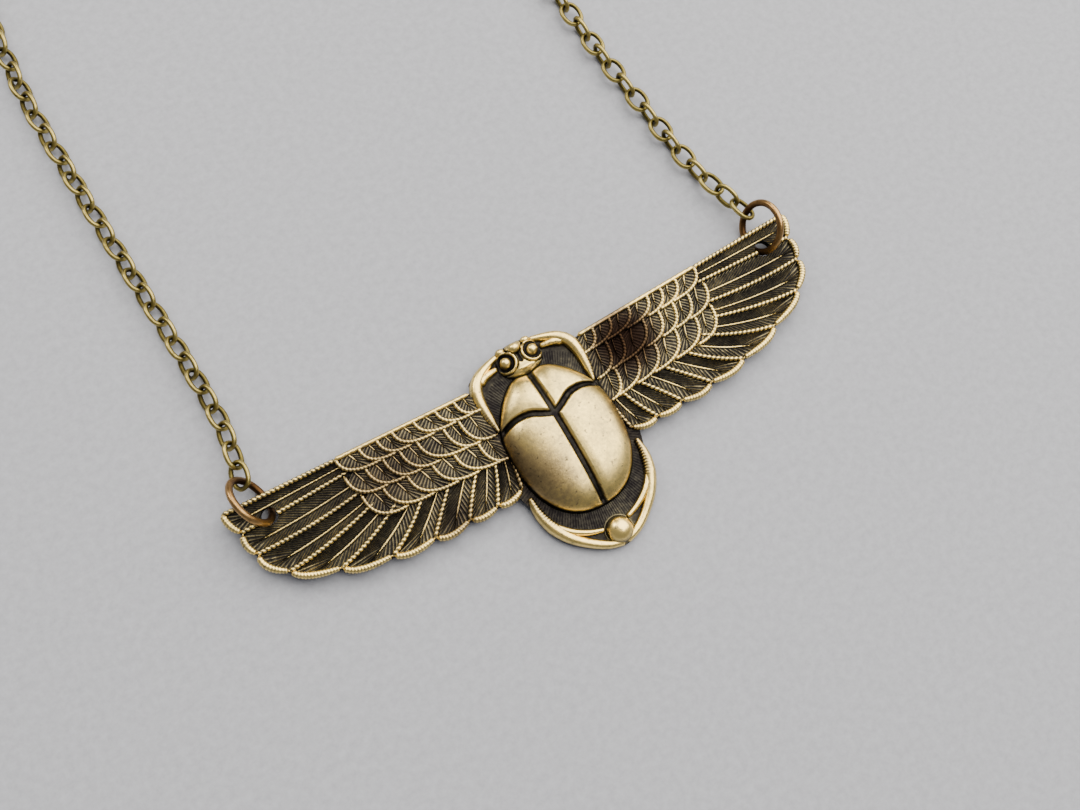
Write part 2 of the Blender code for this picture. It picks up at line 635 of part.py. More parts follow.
clear_scene()
parts = make_collection("winged_scarab_necklace")
cutters = make_collection("cutters")
brass = make_material("antique_brass", BRASS, 0.35)
dark_brass = make_material("dark_brass", DARK_BRASS, 0.4)
winged_scarab().matrix_world = tilt_matrix()
jump_ring(-1, "jump_ring_left")
jump_ring(1, "jump_ring_right")
left, right, eye_place, bend_place, end_ring_place, chain_length = stations()
chain_route = chain_way(chain_length)
chain_side(chain_route, chain_length, left, "chain_left")
chain_side(chain_route, chain_length, right, "chain_right")
clasp = clasp_pose(chain_route, chain_length, eye_place, end_ring_place)
clasp_hook(clasp, bend_place - eye_place)
clasp_ring(clasp, end_ring_place - eye_place)
settle_on_table()
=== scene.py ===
import math

import bpy
import numpy as np
from mathutils import Matrix, Vector


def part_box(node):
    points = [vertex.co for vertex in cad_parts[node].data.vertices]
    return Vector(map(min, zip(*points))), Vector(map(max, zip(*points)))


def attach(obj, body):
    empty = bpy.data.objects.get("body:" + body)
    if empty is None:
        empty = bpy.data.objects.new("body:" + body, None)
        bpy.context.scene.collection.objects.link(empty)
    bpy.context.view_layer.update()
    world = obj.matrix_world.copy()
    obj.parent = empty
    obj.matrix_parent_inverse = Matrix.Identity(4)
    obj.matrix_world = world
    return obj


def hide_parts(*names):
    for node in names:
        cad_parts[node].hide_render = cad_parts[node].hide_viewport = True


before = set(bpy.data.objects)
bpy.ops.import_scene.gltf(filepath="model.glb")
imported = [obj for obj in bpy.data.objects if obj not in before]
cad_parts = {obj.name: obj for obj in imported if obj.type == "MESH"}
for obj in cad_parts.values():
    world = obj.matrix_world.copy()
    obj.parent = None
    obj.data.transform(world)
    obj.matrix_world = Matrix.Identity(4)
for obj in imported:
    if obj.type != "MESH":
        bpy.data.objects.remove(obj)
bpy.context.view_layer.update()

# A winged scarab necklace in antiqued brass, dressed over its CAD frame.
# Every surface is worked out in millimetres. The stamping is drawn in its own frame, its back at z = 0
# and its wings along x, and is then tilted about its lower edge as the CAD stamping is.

MM = 0.001
TURN = 2 * math.pi
UP = np.array([0.0, 0.0, 1.0])

# The stamping: heights above its flat back
PLATE = 0.75
FEATHER_FIELD = 0.92
FEATHER_RIM = 1.12
QUILL_RISE = 0.2
BARB_RISE = 0.12
SCALE_FIELDS = (1.5, 1.36, 1.2)
SCARAB_HEIGHT = 4.3
SCARAB_EDGE = 0.45
SCARAB_WALL = 0.9
HEAD_HEIGHT = 2.2
FLOOR_OF_RECESS = 0.84
LOWEST = 0.2  # of what is sunk in the plate
HOLE_RADIUS = 1.15
HOLE_PLACE = (39.0, 7.4)

# The edges between the nine long feathers of the right wing, top one first: root, middle and tip of each
FEATHER_EDGES = (
    ((26.0, 9.95), (35.5, 10.3), (44.3, 10.6)),
    ((26.0, 7.5), (35.0, 7.15), (43.2, 7.0)),
    ((25.5, 4.6), (34.5, 3.55), (42.7, 3.6)),
    ((25.0, 2.6), (33.0, 0.5), (40.1, -0.4)),
    ((23.0, 1.3), (28.6, -1.6), (34.2, -3.3)),
    ((19.8, 0.6), (23.6, -2.85), (27.7, -5.2)),
    ((16.0, 0.2), (18.9, -2.8), (21.8, -5.9)),
    ((12.0, 0.0), (14.4, -2.9), (16.7, -6.1)),
    ((9.6, 0.3), (10.7, -2.9), (12.6, -6.35)),
    ((7.5, 0.5), (7.9, -2.8), (8.5, -5.9)),
)
TIP_BULGES = (0.45, 0.55, 0.95, 1.15, 1.15, 0.85, 0.85, 0.6, 0.6)
# Each row of short feathers: where the outer side of each is, and the row's lower edge at its two ends
SCALE_ROWS = (
    ((28.15, 24.8, 22.25, 19.95, 16.8, 13.6, 10.8), (6.95, 6.4)),
    ((28.2, 25.3, 22.7, 20.3, 17.7, 13.8, 11.5), (3.75, 2.4)),
    ((27.4, 24.5, 21.0, 17.4, 14.2, 10.7), (0.0, -1.1)),
)
SCALE_INNER_END = 8.2
TOP_EDGE = ((8.6, 9.2), (44.3, 10.6))
PLAIN_RIM_END = 28.4
BEADED_RIM_START = 28.2
BEAD_PITCH = 0.64
TIP_BEAD_PITCH = 0.42
SHORT_BEAD_PITCH = 0.5
PLAIN_RIM_PITCH = 0.9
BARB_PITCH = 0.62
BARB_SLANT = 2.5
BARB_SHINE = 0.46
SHORT_BARB_PITCH = 0.42
SHORT_BARB_SLANT = 0.9
SHORT_BARB_RISE = 0.09
STEPS_IN_A_BARB = 5
# How far across each half of a vane its lines of points are, from the edge to the quill
ACROSS_A_VANE = (0, 0.12, 0.34, 0.58, 0.78, 0.91, 0.96, 1.0)

# The plate's edge and the legs, on the right side. The insets are from the drawn edge to the plate's.
HEAD_OUTLINE = ((0.0, 12.55), (2.2, 12.5), (4.6, 12.1), (6.6, 11.4), (8.0, 10.4), (8.35, 9.25))
TAIL_OUTLINE = (
    (9.0, -7.3), (9.0, -9.4), (8.5, -11.9), (7.0, -14.6), (5.0, -16.8), (2.6, -18.5), (0.0, -19.2),
)
PLATE_INSET = 0.25
PLATE_INSET_AT_TIPS = 0.12
PLATE_INSET_ON_TOP = 0.13
FRONT_LEG = ((7.45, 2.3), (7.72, 4.9), (7.75, 7.3), (7.3, 9.1), (6.1, 10.4), (4.5, 11.2), (2.5, 11.85))
FRONT_SPUR = ((6.7, 9.3), (5.4, 9.95), (3.3, 10.25))
HIND_LEG = (
    (8.35, -7.2), (8.35, -9.5), (7.8, -11.8), (6.45, -14.3), (4.55, -16.25), (2.35, -17.75), (0.0, -18.5),
)
HIND_SPUR = ((7.5, -12.0), (5.9, -13.8), (3.9, -15.1), (1.7, -15.9))
LEG_STEP = 0.14
HAIR_PITCH = 0.42
# Squared ovals in the plan: the middle along y, the half width, and how far ahead and behind they reach
BODY_OVAL = (-2.3, 8.2, 9.8, 10.8)
HEAD_OVAL = (10.05, 3.35, 2.5, 2.55)
SQUARENESS = 2.3
# The power of the way inside the outline that a dome's height follows
BODY_POWER = 0.38
HEAD_POWER = 0.42
BODY_COLUMNS = 131
ROWS_BEHIND_GROOVE = 90
ROWS_AHEAD_OF_GROOVE = 48
# The bells that shape the shield's front edge: how far ahead, where across and how wide
SHIELD_LOBES = ((0.65, 2.5, 1.9), (-0.25, 6.6, 1.1))
SHOULDER_GROOVE = ((8.6, 1.4), (7.4, 1.9), (5.25, 2.5), (3.2, 2.35), (1.5, 1.5), (0.0, 0.8))
GROOVE_HALF_WIDTH = 0.41
GROOVE_DEPTH = 0.7
HATCHES = 180
STEPS_IN_A_HATCH = 4
BALL_PLACE = (0.0, -16.8)
BALL_RADIUS = 1.87
EYE_PLACE = (2.1, 10.25)

# The rings, the chain and the clasp, in the sizes of the CAD model
RING_DIAMETER = 8.0
RING_WIRE = 1.0
RING_LEAN = math.radians(62)
RING_YAW = math.radians(-8)
RING_AHEAD = 0.319 * RING_DIAMETER
RING_ASIDE = 0.144 * RING_DIAMETER
RING_HOLD = math.radians(-20)
LIFT_UNDER_WINGS = 0.75
CLEARANCE = 0.16
LINK_LENGTH = 4.2
LINK_WIDTH = 3.2
LINK_WIRE = 0.68
LINK_SECTION = LINK_WIRE / 1.3  # the radius of the CAD wire's section, which places the links
LINK_SQUARENESS = 2.3
LINK_BITE = 0.12
LINKS_IN_A_RUN = 6
RUNS_ON_A_SIDE = 8
RUN_GAP = 0.3
CLASP_WIRE = 1.0
CLASP_EYE = 5.0
CLASP_SHANK = 7.0
CLASP_BEND = 4.0
CLASP_TIP = 3.5
END_RING_DIAMETER = 6.0
END_RING_WIRE = 0.9
END_RING_LEAN = math.radians(60)
HOOK_SEAT = 0.8
LINK_SEAT = 0.7
COS_30 = math.cos(math.radians(30))
ROUTE = (
    (-39.6, 14.0), (-39.0, 22), (-39.3, 33), (-40.2, 47), (-41.2, 64), (-41.7, 82), (-39.5, 101),
    (-32.0, 119), (-19.0, 129), (-7.0, 132), (7.0, 132), (19.0, 129), (30.0, 119), (35.3, 102),
    (36.0, 85), (35.0, 68), (35.3, 50), (36.3, 37), (37.6, 24), (39.6, 14.0),
)
# How far the links are rolled about the chain: shares of its length from the left ring, and degrees at each
LINK_ROLLS = (
    (0, 0.03, 0.36, 0.46, 0.5, 0.5001, 0.54, 0.7, 0.96, 1),
    (-30, -45, -45, 0, 0, 120, 120, 0, 0, -30),
)

# The finishes: where each colour lies on the way from patina in the recesses to rubbed metal
STAMPED = (
    (0.0, (0.009, 0.008, 0.009, 1)), (0.18, (0.029, 0.027, 0.023, 1)), (0.42, (0.115, 0.10, 0.06, 1)),
    (0.68, (0.40, 0.315, 0.15, 1)), (0.86, (0.72, 0.555, 0.2, 1)), (1.0, (0.99, 0.74, 0.25, 1)),
)
CHAIN = (
    (0.0, (0.02, 0.015, 0.006, 1)), (0.4, (0.11, 0.088, 0.025, 1)), (0.75, (0.25, 0.2, 0.06, 1)),
    (1.0, (0.40, 0.32, 0.105, 1)),
)
COPPERY = (
    (0.0, (0.016, 0.008, 0.005, 1)), (0.45, (0.09, 0.046, 0.018, 1)), (0.8, (0.24, 0.138, 0.052, 1)),
    (1.0, (0.44, 0.27, 0.11, 1)),
)
PALE_CARD = ((0.3, (0.302, 0.315, 0.365, 1)), (0.7, (0.372, 0.388, 0.45, 1)))
CLOUD_SCALE = 260.0
GRAIN_SCALE = 1900.0
GRAIN_SHARE = 0.8
PITS_IN_NOISE = (0.62, 0.76)  # where in the noise a pit begins and where it is full
WEAR_IN_PITS = (1.0, 0.55)
RELIEF = 0.0001  # in metres
# How much the painted dark reflections dull the metal, and the reddish brown they multiply into its colour
PAINTED_REFLECTION_DULLS = 0.8
PAINTED_REFLECTION_TINT = (0.5, 0.27, 0.19, 1)
# Painted dark reflections on the stamping: the middle in the plan, half width, half height, the bell's power and
# its strength
PAINTED_DARK_REFLECTIONS = (
    (14.0, 5.2, 4.8, 4.6, 4, 0.9),
    (-5.2, -6.5, 3.6, 5.0, 2, 0.25),
    (-7.8, -1.5, 1.6, 6.0, 2, 0.4),
    (7.9, -5.0, 1.3, 5.5, 2, 0.3),
    (-23.0, 4.5, 7.0, 4.5, 2, 0.4),
    (-18.0, -5.0, 3.0, 2.5, 2, 0.35),
)

# The room, in metres and watts
TABLE_REACH = 3
DAYLIGHT = (1.0, 0.94, 0.82)
ROOM_COLOUR = (0.98, 0.98, 1.0, 1)
ROOM_STRENGTH = 0.27
LIT_POINT = (0, -0.03, 0)
BROAD_WINDOW = ((0.38, 0.12, 0.6), 1.1, 21.0)
SMALL_WINDOW = ((-0.25, 0.5, 0.45), 0.3, 2.5)

# The camera: its turns about the stamping's axes in degrees, and the stamping's origin as the camera sees it
CAMERA_TURN = (-13.22, 5.605, 30.316)
CAMERA_PLACE = (2.076, -2.485, -150.067)
FOCAL_SHARE = 1100 / 1080
SENSOR = 36
NEAREST_SEEN = 0.005


# Lines in the plan

def through_three(points, share):
    """The parabola that passes the three points at shares 0, 0.5 and 1."""
    start, middle, stop = (np.array(point) for point in points)
    share = np.asarray(share)[..., None]
    first = start * (1 - share) * (1 - 2 * share)
    last = stop * share * (2 * share - 1)
    return first + middle * 4 * share * (1 - share) + last


def walked(path):
    """How far along the path each of its points is."""
    return np.concatenate([[0], np.cumsum(np.linalg.norm(np.diff(path, axis=0), axis=1))])


def even(path, count):
    """Points at equal distances along the path, by linear steps between its own points."""
    so_far = walked(path)
    wanted = np.linspace(0, so_far[-1], count)
    return np.column_stack([np.interp(wanted, so_far, column) for column in path.T])


def smooth_path(points, count):
    """Evenly spaced points on the Catmull-Rom curve through the given ones, 24 steps from each to the next."""
    knots = np.array(points, dtype=float)
    ends = np.vstack([2 * knots[0] - knots[1], knots, 2 * knots[-1] - knots[-2]])
    share = np.linspace(0, 1, 24, endpoint=False)[:, None, None]
    before, start, stop, after = (ends[first:len(ends) - 3 + first] for first in range(4))
    bend = 2 * before - 5 * start + 4 * stop - after
    twist = 3 * start - 3 * stop + after - before
    fine = 0.5 * (2 * start + (stop - before) * share + bend * share**2 + twist * share**3)
    return even(np.vstack([fine.transpose(1, 0, 2).reshape(-1, knots.shape[1]), knots[-1:]]), count)


def sideways(path):
    """The unit vector in the plan at right angles to the path at each of its points, to its right."""
    along = np.gradient(path[:, :2], axis=0)
    along /= np.linalg.norm(along, axis=1)[:, None]
    return np.column_stack([along[:, 1], -along[:, 0]])


# Closed surfaces: points in millimetres, corner counts of the faces, their corners, and the wear at each.
# Wear is 0 where dark patina lies in a recess and 1 where the brass is rubbed bright.

def volume_under(points, faces):
    """Six times the signed volume between the origin and the faces, as fans of triangles."""
    first = points[faces[:, 0]]
    total = 0.0
    for corner in range(1, faces.shape[1] - 1):
        total += (first * np.cross(points[faces[:, corner]], points[faces[:, corner + 1]])).sum()
    return total


def closed(points, quads, caps, wear):
    """One closed surface, with every face turned over if together they enclose a negative volume."""
    groups = [quads, *[np.asarray(cap)[None] for cap in caps]]
    if sum(volume_under(points, group) for group in groups) < 0:
        groups = [group[:, ::-1] for group in groups]
    counts = np.concatenate([np.full(len(group), group.shape[1]) for group in groups])
    corners = np.concatenate([group.ravel() for group in groups])
    return points, counts, corners, wear[corners]


def grid_quads(rows, columns, ring_of_rows=False, ring_of_columns=False):
    """The quads of a grid of points numbered row by row; a ring also joins its last line to its first."""
    number = np.arange(rows * columns).reshape(rows, columns)
    if ring_of_rows:
        number = np.vstack([number, number[:1]])
    if ring_of_columns:
        number = np.hstack([number, number[:, :1]])
    return np.stack([number[:-1, :-1], number[1:, :-1], number[1:, 1:], number[:-1, 1:]], -1).reshape(-1, 4)


def rim_of(rows, columns):
    """The numbers of a grid's outer points, once round."""
    number = np.arange(rows * columns).reshape(rows, columns)
    return np.concatenate([number[0, :-1], number[:-1, -1], number[-1, :0:-1], number[:0:-1, 0]])


def pad(top, floor, wear):
    """A closed block under a grid of top points: its rim goes straight down to a flat floor."""
    rows, columns = top.shape[:2]
    rim = rim_of(rows, columns)
    foot = rows * columns + np.arange(len(rim))
    points = top.reshape(-1, 3)
    below = points[rim] * (1, 1, 0) + (0, 0, floor)
    walls = np.stack([rim, np.roll(rim, -1), np.roll(foot, -1), foot], -1)
    shine = np.concatenate([wear.ravel(), 0.4 * wear.ravel()[rim]])
    return closed(np.vstack([points, below]), np.vstack([grid_quads(rows, columns), walls]), [foot], shine)


def sweep(path, side, across, height, wear, ring=False):
    """A profile carried along a path: each point is the path's plus side times across, and height above it."""
    points = path[:, None] + side[:, None] * across[..., None] + UP * height[..., None]
    rows, columns = across.shape
    caps = [] if ring else [np.arange(columns), np.arange(rows * columns - 1, (rows - 1) * columns - 1, -1)]
    return closed(points.reshape(-1, 3), grid_quads(rows, columns, ring, True), caps, wear.ravel())


def sweep_level(path, level, across, height, wear):
    """A profile carried along a path in the plan at one level, across it to its right and upwards."""
    side = np.column_stack([sideways(path), np.zeros(len(path))])
    return sweep(np.column_stack([path, np.full(len(path), level)]), side, across, height, wear)


def round_ring(radius, wire, around, section, wear_at):
    """A ring of round wire flat in x and y: the wire's circle carried round the ring's. Its wear is worked out
    from the turn about the wire, which is 0 on the ring's outer side and a quarter on top."""
    turn = np.linspace(0, TURN, around, endpoint=False)
    out = np.column_stack([np.cos(turn), np.sin(turn), np.zeros(around)])
    angle = np.linspace(0, TURN, section, endpoint=False)[None] + 0 * turn[:, None]
    return sweep(out * radius, out, wire * np.cos(angle), wire * np.sin(angle), wear_at(angle), ring=True)


def egg(middle, radii, low, high, around=32, rings=14):
    """A ball stretched to three radii: x and y go with the sine of the polar angle and z with its cosine.
    Its wear goes from low at its lower half to high at its top."""
    polar = np.linspace(0, math.pi, rings + 1)[1:-1, None]
    turn = np.linspace(0, TURN, around, endpoint=False)[None]
    shape = np.stack([np.sin(polar) * np.cos(turn), np.sin(polar) * np.sin(turn), np.cos(polar) + 0 * turn], -1)
    shape = shape.reshape(-1, 3)
    points = np.vstack([shape, [[0, 0, 1], [0, 0, -1]]])
    wear = low + (high - low) * np.clip(points[:, 2] * 1.3, 0, 1)
    quads = grid_quads(rings - 1, around, False, True)
    top, bottom = len(shape), len(shape) + 1
    first, last = np.arange(around), (rings - 2) * around + np.arange(around)
    fans = [[top, a, b] for a, b in zip(first, np.roll(first, -1))]
    fans += [[bottom, b, a] for a, b in zip(last, np.roll(last, -1))]
    points = points * radii + middle
    points[:, 2] = np.maximum(points[:, 2], LOWEST)
    return closed(points, quads, fans, wear)


def mirrored(surface):
    """The surface on the other side of x = 0, its faces turned over so that they still point outwards."""
    points, counts, corners, wear = surface
    ends = np.cumsum(counts)
    place = np.arange(len(corners))
    owner = np.repeat(np.arange(len(counts)), counts)
    back = (ends - counts)[owner] + ends[owner] - 1 - place
    return points * (-1, 1, 1), counts, corners[back], wear[back]


# Feathers

def tip_arc(number, share):
    """The rounded end of a long feather: the chord between its two edges plus a parabola that bulges outwards."""
    start, stop = np.array(FEATHER_EDGES[number][2]), np.array(FEATHER_EDGES[number + 1][2])
    outward = np.diff(through_three(FEATHER_EDGES[number + 1], [0.9, 1.0]), axis=0)[0]
    outward /= np.linalg.norm(outward)
    share = np.asarray(share)[:, None]
    return start + (stop - start) * share + outward * (4 * share * (1 - share) * TIP_BULGES[number])


def vane(upper, lower, quill, levels, pitch, slant, rise):
    """The web of a feather: a grid whose columns are barbs, from the upper edge to the quill and on to the
    lower. Height is the level between the edges, plus a saw of barbs along the columns, plus a ridge on the
    quill. The saw fades out at the edges and at the quill, and the wear follows the saw and the ridge."""
    columns = int(walked(quill)[-1] / pitch * STEPS_IN_A_BARB) + 2
    spine = even(quill, columns)
    top, bottom = (forward(edge, slant, columns) for edge in (upper, lower))
    to_quill = np.array(ACROSS_A_VANE)
    from_quill = (1 - to_quill[:-1])[::-1]
    above = top[:, None] + (spine - top)[:, None] * to_quill[None, :, None]
    below = spine[:, None] + (bottom - spine)[:, None] * from_quill[None, :, None]
    plan = np.concatenate([above, below], axis=1)
    across = np.concatenate([to_quill - 1, from_quill])
    barb = np.abs(((np.arange(columns) / STEPS_IN_A_BARB) % 1) * 2 - 1)[:, None]
    fade = np.clip((1 - np.abs(across)) * 8, 0, 1) * np.clip(np.abs(across) * 6, 0, 1)
    ridge = np.clip(1.5 - np.abs(across) / 0.06, 0, 1)
    level = np.interp(across, [-1, 0, 1], levels)
    height = level + rise * barb * fade + QUILL_RISE * ridge
    wear = 0.04 + BARB_SHINE * barb**1.5 * fade + 0.8 * ridge
    return pad(np.dstack([plan, height]), PLATE / 3, wear)


def forward(edge, slant, columns):
    """Where each barb meets the edge of a feather: the slant ahead of the root, evenly to the far end."""
    length = walked(edge)[-1]
    wanted = np.linspace(min(slant, 0.35 * length), length, columns)
    return np.column_stack([np.interp(wanted, walked(edge), column) for column in edge.T])


def beaded(line, height, radii, depth=0.26, pitch=BEAD_PITCH):
    """A rope of beads along a line: a wire whose radius goes from each of the radii to the next, less a share of
    it between the beads, which follow the cosine of the way along, a little askew."""
    length = walked(line)[-1]
    path = even(line, int(length / pitch * 6) + 2)
    turn = np.linspace(-math.pi, math.pi, 10, endpoint=False)[None] + math.pi / 10
    so_far = walked(path)[:, None]
    bead = np.abs(np.cos(math.pi * so_far / pitch + 0.6 * np.sin(turn)))
    radius = np.interp(so_far / length, np.linspace(0, 1, len(radii)), radii)
    swell = radius * (1 - depth + depth * bead)
    ends = np.clip(np.minimum(so_far, length - so_far) / radius, 0.25, 1)
    wear = (1 - 3.0 * depth * (1 - bead)) * np.clip(0.75 + np.cos(turn), 0.05, 1)
    return sweep_level(path, height, swell * ends * np.sin(turn), swell * ends * np.cos(turn), wear)


def long_feather(number):
    """One long feather: its web, the rope of beads along its lower edge, and the thicker corded rim round its
    tip. The quill lies between the two edges, a little nearer the lower one."""
    share = np.linspace(0, 1, 40)
    half = np.linspace(0, 0.5, 12)[1:]
    upper, lower = (through_three(edge, share) for edge in FEATHER_EDGES[number:number + 2])
    quill = (0.47 * upper + 0.53 * lower)[:-4]
    upper = np.vstack([upper, tip_arc(number, half)])
    lower = np.vstack([lower, tip_arc(number, 1 - half)])
    levels = (FEATHER_FIELD - 0.12, FEATHER_FIELD, FEATHER_FIELD)
    web = vane(upper, lower, quill, levels, BARB_PITCH, BARB_SLANT, BARB_RISE)
    ridge = inward(through_three(FEATHER_EDGES[number + 1], np.linspace(0.08, 1, 40)), 0.16)
    tip = inward(tip_arc(number, np.linspace(1, 0, 24)), 0.24)
    rope = beaded(ridge, FEATHER_RIM, (0.25, 0.3, 0.32, 0.34))
    return web, rope, beaded(tip, FEATHER_RIM, (0.34, 0.5, 0.52, 0.42), depth=0.12, pitch=TIP_BEAD_PITCH)


def inward(line, distance):
    """The line moved to its left by the distance."""
    return line - sideways(line) * distance


def wing_top(x):
    """How far ahead the wing's top edge is at x, on the straight line between its two ends."""
    (inner, low), (outer, high) = TOP_EDGE
    return low + (high - low) * (x - inner) / (outer - inner)


def short_feather(row, number):
    """One short feather: a quarter of a squared oval from its outer side to its heel, with beads along it. Along
    x it follows a power of the turn's cosine and along y the same power of its sine."""
    arms, (low_out, low_in) = SCALE_ROWS[row]
    arms = (*arms, SCALE_INNER_END)
    arm, beyond = arms[number], arms[number + 1]
    width = arm - beyond
    slope = (beyond - SCALE_INNER_END) / (arms[0] - SCALE_INNER_END)
    bottom = low_in + (low_out - low_in) * slope
    top = wing_top(arm) - 0.15
    if row:
        above_out, above_in = SCALE_ROWS[row - 1][1]
        top = above_in + (above_out - above_in) * (arm - SCALE_INNER_END) / (arms[0] - SCALE_INNER_END) + 0.25
    heel = max(beyond - 0.6 * width, SCALE_INNER_END - 0.3)
    turn = np.linspace(0, math.pi / 2, 40)
    across = heel + (arm - heel) * np.cos(turn) ** 0.74
    hook = np.column_stack([across, top - (top - bottom) * np.sin(turn) ** 0.74])
    apex = 26
    inner = np.column_stack([np.linspace(beyond - 0.3, heel, 12), np.linspace(top, bottom, 12)])
    quill = np.linspace((arm - 0.45 * width, top), hook[apex] * 0.75 + 0.25 * np.array([beyond, top]), 12)
    upper, lower = hook[:apex + 1], np.vstack([inner, hook[:apex - 1:-1]])
    field = SCALE_FIELDS[row]
    levels = (field + 0.1, field, field - 0.12)
    web = vane(upper, lower, quill, levels, SHORT_BARB_PITCH, SHORT_BARB_SLANT, SHORT_BARB_RISE)
    edge = inward(hook[::-1], -0.1)
    return web, beaded(edge, field + 0.16, (0.26, 0.31, 0.3), depth=0.17, pitch=SHORT_BEAD_PITCH)


def top_rim():
    """The rim along the wing's top edge: plain over the short feathers, beaded from there to the tip."""
    share = np.linspace(0, 1, 30)[:, None]
    inner, outer = (np.array(end) for end in TOP_EDGE)
    plain_end = np.array([PLAIN_RIM_END, wing_top(PLAIN_RIM_END)])
    beads_start = np.array([BEADED_RIM_START, wing_top(BEADED_RIM_START)])
    plain = inner + share * (plain_end - inner) - (0, 0.25)
    beads = beads_start + share * (outer - beads_start) - (0, 0.2)
    return [beaded(plain, SCALE_FIELDS[0] + 0.12, (0.34, 0.34), depth=0.06, pitch=PLAIN_RIM_PITCH),
            beaded(beads, FEATHER_RIM, (0.33, 0.36))]


def right_wing():
    """Every surface of the right wing: web, rope and tip of each long feather, web and beads of each short one,
    and the top rim's two parts."""
    surfaces = [piece for number in range(len(TIP_BULGES)) for piece in long_feather(number)]
    for row in range(len(SCALE_ROWS)):
        for number in range(len(SCALE_ROWS[row][0])):
            surfaces.extend(short_feather(row, number))
    return surfaces + top_rim()


# The plate

def outline():
    """The stamping's edge on the right, from the head round the wing to the tail, a little inside the beads."""
    points = [inward(np.array(HEAD_OUTLINE), -PLATE_INSET), np.array([TOP_EDGE[0]]) - (0, PLATE_INSET_ON_TOP)]
    for number in range(len(TIP_BULGES)):
        arc = tip_arc(number, np.linspace(0.03, 0.97, 12))
        points.append(inward(arc, -PLATE_INSET_AT_TIPS))
    return np.vstack([*points, inward(smooth_path(TAIL_OUTLINE, 30), -PLATE_INSET)])


def oval(points, shape):
    """How far plan points are from the middle of a squared oval, as a share of its outline."""
    middle, half_width, ahead, behind = shape
    reach = np.where(points[..., 1] > middle, ahead, behind)
    offset = np.abs(points - np.array([0, middle])) / np.stack([np.full_like(reach, half_width), reach], -1)
    return (offset**SQUARENESS).sum(-1) ** (1 / SQUARENESS)


def oval_ring(turn, shape):
    """Plan points on the outline of a squared oval at the given turns."""
    middle, half_width, ahead, behind = shape
    plan = np.stack([np.cos(turn), np.sin(turn)], -1)
    spread = (np.abs(plan) ** SQUARENESS).sum(-1) ** (-1 / SQUARENESS)
    reach = np.where(plan[..., 1] > 0, ahead, behind)
    return plan * spread[..., None] * np.stack([np.full_like(reach, half_width), reach], -1) + (0, middle)


def prism(ring, low, high, wear):
    """A closed block with a flat top and bottom over a ring of plan points."""
    count = len(ring)
    points = np.vstack([np.column_stack([ring, np.full(count, level)]) for level in (low, high)])
    here = np.arange(count)
    there = np.roll(here, -1)
    walls = np.stack([here, there, there + count, here + count], -1)
    return closed(points, walls, [here[::-1], here + count], np.full(2 * count, wear))


def plate():
    """The ground of the stamping: a flat sheet with its outline on both sides."""
    half = outline()
    return prism(np.vstack([half, half[-2:0:-1] * (-1, 1)]), 0.0, PLATE, 0.12)


def recess_floor():
    """The hatched ground round the body: a ring of fine radial ridges, each a cosine of the turn."""
    turn = np.linspace(0, TURN, HATCHES * STEPS_IN_A_HATCH, endpoint=False)[:, None]
    share = np.linspace(0, 1, 6)[None]
    reach = 0.94 + share * np.interp(np.sin(turn), [-1, -0.5, 1], [0.28, 0.25, 0.3])
    ring = oval_ring(turn + 0 * share, BODY_OVAL)
    plan = (ring - (0, BODY_OVAL[0])) * reach[..., None] + (0, BODY_OVAL[0])
    ridges = 0.5 + 0.5 * np.cos(turn * HATCHES + 3 * share)
    height = FLOOR_OF_RECESS + 0.05 * ridges
    top = np.dstack([plan, height])
    low = np.dstack([plan, np.full(height.shape, PLATE / 2)])[:, ::-1]
    loop = np.concatenate([top, low], axis=1)
    wear = np.concatenate([0.04 + 0.13 * ridges, np.zeros(height.shape)], axis=1)
    return closed(loop.reshape(-1, 3), grid_quads(*loop.shape[:2], True, True), [], wear.ravel())


# The scarab

def to_line(points, line):
    """The distance from each plan point to the nearest point of a finely drawn line."""
    gaps = points[..., None, :] - line
    return np.sqrt((gaps**2).sum(-1).min(-1))


def dome(shape, split, columns, behind, ahead):
    """A grid over a squared oval: columns at the sines of even turns, each from the back edge to the front
    edge, with one row along the split line. With it, how far inside the outline each point is, 1 in the middle."""
    middle, half_width, forward_reach, backward_reach = shape
    x = half_width * np.sin(math.pi / 2 * np.linspace(-1, 1, columns)) * 0.9999
    side = (1 - (np.abs(x) / half_width) ** SQUARENESS) ** (1 / SQUARENESS)
    front, back = middle + forward_reach * side, middle - backward_reach * side
    row = np.clip(np.interp(np.abs(x), *split.T), back, front)
    ease_behind, ease_ahead = ((1 - np.cos(np.linspace(0, math.pi, count))) / 2 for count in (behind, ahead))
    y = np.hstack([back[:, None] + (row - back)[:, None] * ease_behind,
                   row[:, None] + (front - row)[:, None] * ease_ahead[1:]])
    plan = np.stack([x[:, None] + 0 * y, y], -1)
    return plan, np.clip(1 - oval(plan, shape) ** SQUARENESS, 0, 1)


def trough(plan, line, half_width):
    """A flat-bottomed trough along a line and its mirror image: 1 on it, 0 a little beyond its half width. With
    it, the distance from each point to the line."""
    near = to_line(np.stack([np.abs(plan[..., 0]), plan[..., 1]], -1), line)
    return np.exp(-((near / half_width) ** 4)), near


def lobed(plan):
    """The body's plan with the shield's front edge moved ahead by the sum of the lobes' bells. The move fades
    evenly from the front edge to nothing at the shoulder groove."""
    groove, front = plan[:, ROWS_BEHIND_GROOVE - 1, None, 1], plan[:, -1:, 1]
    ahead = np.clip((plan[..., 1] - groove) / (front - groove + 0.01), 0, 1)
    across = np.abs(plan[..., 0])
    lobes = sum(reach * np.exp(-(((across - place) / width) ** 2)) for reach, place, width in SHIELD_LOBES)
    return np.dstack([plan[..., 0], plan[..., 1] + lobes * ahead])


